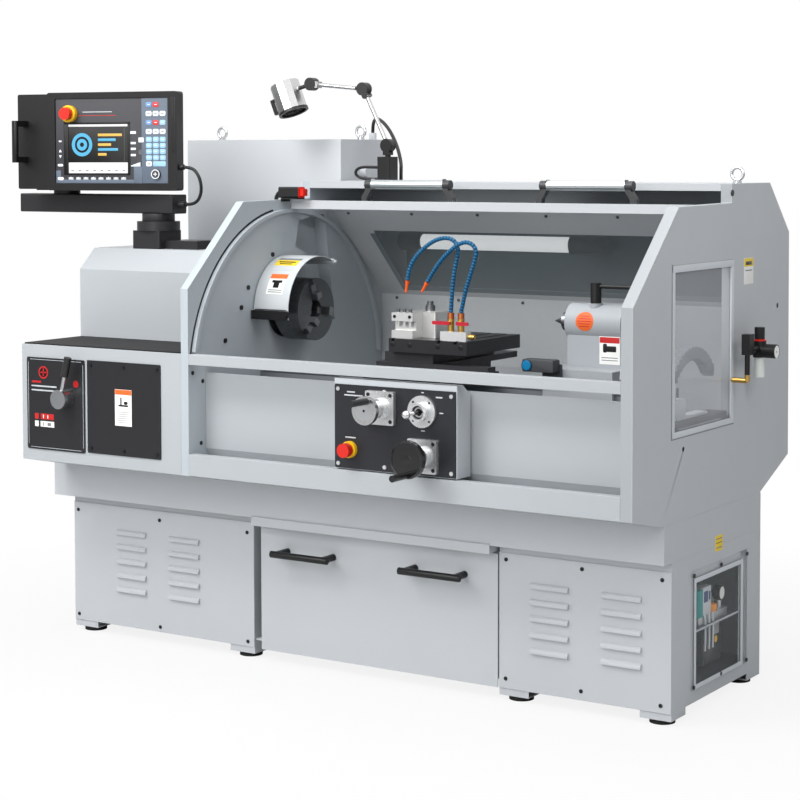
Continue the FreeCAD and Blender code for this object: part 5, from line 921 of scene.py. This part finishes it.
@piece("gearboxFace", "base", "plate")
def gearboxFace(face):
    # generic bars, blocks and a ring on the speed plate, and a picture-free notice on the cover plate
    plate, notice, ring = atFront(-233), atFront(-233.6), [(-1942, 832)]
    for finish, low, depth, corner, places in (
            ("paleLabel", 0, 0.3, 0.2, [(-1894, 870, 200, 1.3), (-1894, 607, 200, 1.3)]),
            ("paleLabel", 0, 0.3, 0.2, [(-2002, 738.5, 1.3, 246), (-1786, 738.5, 1.3, 246)]),
            ("paleLabel", 0, 0.3, 0.5, [(-1940, 790.5, 100, 4.4), (-1942, 778, 95, 4.4)]),
            ("redLabel", 0, 0.3, 0.5, [(-1970, 803, 37, 6), (-1970, 700, 15, 17), (-1928, 700, 52, 17)]),
            ("whiteLabel", 0, 0.3, 0.5, [(-1970, 677.5, 15, 17), (-1928, 677.5, 54, 17)]),
            ("whiteLabel", 0.3, 0.1, 0.2, [(-1943, 700, 3, 11), (-1926, 700, 3, 11)]),
            ("greyLabel", 0.3, 0.1, 0.2, [(-1943, 677.5, 3, 11), (-1920, 677.5, 14, 9)]),
            ("redLabel", 0.2, 0.3, 0.5, [(-1942, 832, 24, 3.6), (-1942, 832, 3.6, 24)])):
        face.bars(plate, finish, low, depth, corner, places, 2)
    face.stud(plate, ring, turned([(18.8, 0), (18.8, 0.3), (14.6, 0.3), (14.5, 0.02)], 40), "redLabel")
    face.stud(plate, ring, turned([(14.5, 0), (14.5, 0.25)], 40), "deepBlack")
    face.stud(plate, [(-1814, 804)], turned([(10.5, 0), (10.5, 0.4), (7.5, 0.4)], 30), "redLabel")
    face.lay(notice, [
        (-1631.5, 791, 62, 14.5, 0, 0.2, 1, "orangeLabel"), (-1631.5, 752, 36, 5, 0, 0.2, 1, "deepBlack"),
        (-1640, 763, 5, 26, 0, 0.2, 1, "deepBlack"), (-1622, 760, 14, 9, 0, 0.2, 3, "deepBlack")])
    lines = [(-1631.5, 733 - 6 * line, 50 - 5 * (line % 3), 1.6) for line in range(6)]
    face.bars(notice, "greyLabel", 0, 0.15, 0.3, lines, 2)

controls = dict(wheels=((-740, 805), (-607, 686)), stick=(-611, 803), reach=35)

@piece("controlFace", "carriage", "plate")
def controlFace(face):
    # flange screws and the plain marks beside the controls
    reach = controls["reach"]
    corners = [(x + right * reach, z + up * reach) for x, z in controls["wheels"]
               for right in (-1, 1) for up in (-1, 1)]
    face.stud(atFront(-239), corners, screw(5.2, 1.6), "blackScrew")
    turns = np.radians([45, 135, 225, 315])
    ring = controls["stick"] + reach * np.column_stack([np.cos(turns), np.sin(turns)])
    face.stud(atFront(-235), ring, screw(3.2, 1), "blackScrew")
    face.bars(atFront(-227), "paleLabel", 0, 0.3, 0.5, [
        (-838, 841, 26, 3.6), (-830, 832, 60, 3.6), (-840, 718, 34, 3.6), (-560, 843, 20, 4),
        (-553, 802, 12, 3), (-610, 752, 12, 3), (-611, 853, 8, 3)], 2)

@piece("caseScrews", "base")
def caseScrews(trim):
    # pedestal screws, wall bolts and a black strip painted on the wall as the shade in the door's slot
    trim.stud(atFront(0), [
        (-488, 386), (-258, 385), (-26, 382), (-489, 61), (-260, 59), (-29, 54), (-1693, 376), (-1362, 372),
        (-1693, 50), (-1361, 49), (-2018, 379), (-2018, 52)], screw(5.5, 2.6), "blackScrew")
    trim.stud(atEnd(-1393), [(-210.6, 859), (-165, 832), (-174, 655)], screw(6, 2), "blackScrew")
    trim.stud(atEnd(0), [(368, 1372)], turned([(9, 0), (9, 2.2), (7.4, 3.4), (0.5, 3.4)], 28), "blackScrew")
    centre = (machine["doorY"], machine["doorZ"])
    # painted shade: a thin black arc on the left wall where the door runs into its slot
    trim.add(arcStrip(-1393, -1392.4, 486, 492, 100, 171, centre, 60), "deepBlack")

@piece("endNotices", "base", "plate")
def endNotices(notices):
    # two notices on the end wall, with fields of colour only
    notices.lay(atEnd(0), [
        (485, 1156, 65, 72, 0, 0.4, 2, "whiteLabel"), (485, 1180, 63, 22, 0.4, 0.15, 1, "yellowLabel"),
        (485, 1178, 40, 10, 0.55, 0.1, 1, "deepBlack"), (485, 1158, 48, 3, 0.55, 0.1, 1, "greyLabel"),
        (297, 433, 48, 42, 0, 0.4, 2, "yellowLabel"), (297, 445, 40, 3, 0.4, 0.1, 1, "greyLabel"),
        (297, 434, 40, 2, 0.4, 0.1, 1, "deepBlack"), (297, 421, 34, 3, 0.4, 0.1, 1, "greyLabel")])

# The guard's notices: fields, then marks, as the ends along x, the angles and the finish
guardFields = ((-1368, -1288, 108, 113, "greyLabel"), (-1368, -1288, 113, 124, "yellowLabel"),
               (-1368, -1288, 124, 132, "paleLabel"), (-1352, -1292, 137, 143, "orangeLabel"),
               (-1352, -1292, 143, 161, "whiteLabel"))
guardMarks = ((-1358, -1298, 116, 118, "deepBlack"), (-1350, -1306, 120, 121.5, "deepBlack"),
              (-1340, -1304, 145, 148, "deepBlack"), (-1332, -1312, 148, 154, "deepBlack"),
              (-1346, -1298, 156, 157, "greyLabel"), (-1346, -1298, 158.2, 159.2, "greyLabel"))

@piece("guardNotices", "guard", "plate")
def guardNotices(notices):
    # two curved notices with their marks, on the guard's own arc
    for rows, inner, outer, steps in ((guardFields, 160, 160.5, 10), (guardMarks, 160.4, 160.75, 6)):
        for low, high, start, end, finish in rows:
            notices.add(arcStrip(low, high, inner, outer, start, end, spindleLine, steps), finish)

disc = dict(x=-349, barrel=52, turn=math.pi - 0.12, radius=27, height=0.6, shrinks=(0.8, 0.6, 0.4, 0.2, 0.05))

@piece("tailNotices", "tail", "plate")
def tailNotices(notices):
    # a disc wrapped on the tailstock's barrel, by angles of height over radius, and a square one below
    x, barrel, turn, radius, height, shrinks = disc.values()
    points, blocks = turned([(radius, 0), (radius, height)] + [(radius * k, height) for k in shrinks], 40)
    angle, reach = turn - points[:, 1] / barrel, barrel + points[:, 2]
    wrapped = np.column_stack([points[:, 0] + x, spindleLine[0] + reach * np.cos(angle),
                               spindleLine[1] + reach * np.sin(angle)])
    notices.add((wrapped, blocks), "orangeLabel")
    for up in (-14, -7, 0, 7, 14):
        half = 22 - abs(up) * 0.5
        start, end = np.degrees(turn - (up + np.array([1.1, -1.1])) / barrel)
        notices.add(arcStrip(x - half, x + half, 52.5, 52.8, start, end, spindleLine, 3), "redLabel")
    notices.lay(atFront(195), [
        (-278, 946, 62, 76, 0, 0.4, 1, "whiteLabel"), (-278, 974, 60, 16, 0.4, 0.1, 1, "redLabel"),
        (-278, 950, 40, 16, 0.4, 0.1, 3, "deepBlack"), (-292, 952, 12, 24, 0.5, 0.1, 3, "deepBlack"),
        (-278, 926, 50, 2.4, 0.4, 0.1, 1, "greyLabel"), (-278, 919, 50, 2.4, 0.4, 0.1, 1, "greyLabel")])

@piece("slideScrews", "cross")
def slideScrews(trim):
    # socket heads on the slide's front edge
    trim.stud(atFront(60), [(-892, 945), (-834, 945), (-742, 945), (-668, 945)], screw(7, 1.6), "blackScrew")

@piece("postScrews", "post")
def postScrews(trim):
    # the tool block's set screws
    trim.stud(atFront(72), [(-892, 1022), (-842, 1022)], screw(5, 1.2), "blackScrew")

switchLead = dict(radii=(7, 7, 6.6, 6.2, 5.6, 5), path=(
    (-1404, 239, 1366), (-1412, 239, 1365), (-1419, 239, 1360), (-1424, 238, 1351), (-1426, 238, 1340),
    (-1425, 237, 1328)))

@piece("switchPlug", "base")
def switchPlug(plug):
    # the switch's angled plug and lead
    plug.add(tubeRings(switchLead["path"], switchLead["radii"], 16), "blackPlastic")

print("plates, notices and screws ready")
edges = dict(width=0.0014, merge=0.00002, segments=2, turn=math.radians(50))

def soften(*names):
    # a narrow rounded edge on sheet and cast pieces, left as modifiers on the CAD meshes
    for name in names:
        nodes[name].modifiers.new("weld", "WELD").merge_threshold = edges["merge"]
        bevel = nodes[name].modifiers.new("bevel", "BEVEL")
        bevel.width, bevel.segments = edges["width"], edges["segments"]
        bevel.limit_method, bevel.angle_limit = "ANGLE", edges["turn"]
        bevel.use_clamp_overlap, bevel.harden_normals = True, False

soften("pedestals", "plinth", "gearbox_housing", "headstock_cover", "front_frame", "right_wall", "left_wall",
       "electrical_cabinet", "coolant_tank", "chip_tray", "pendant_case", "pendant_arm")
print("edges softened")
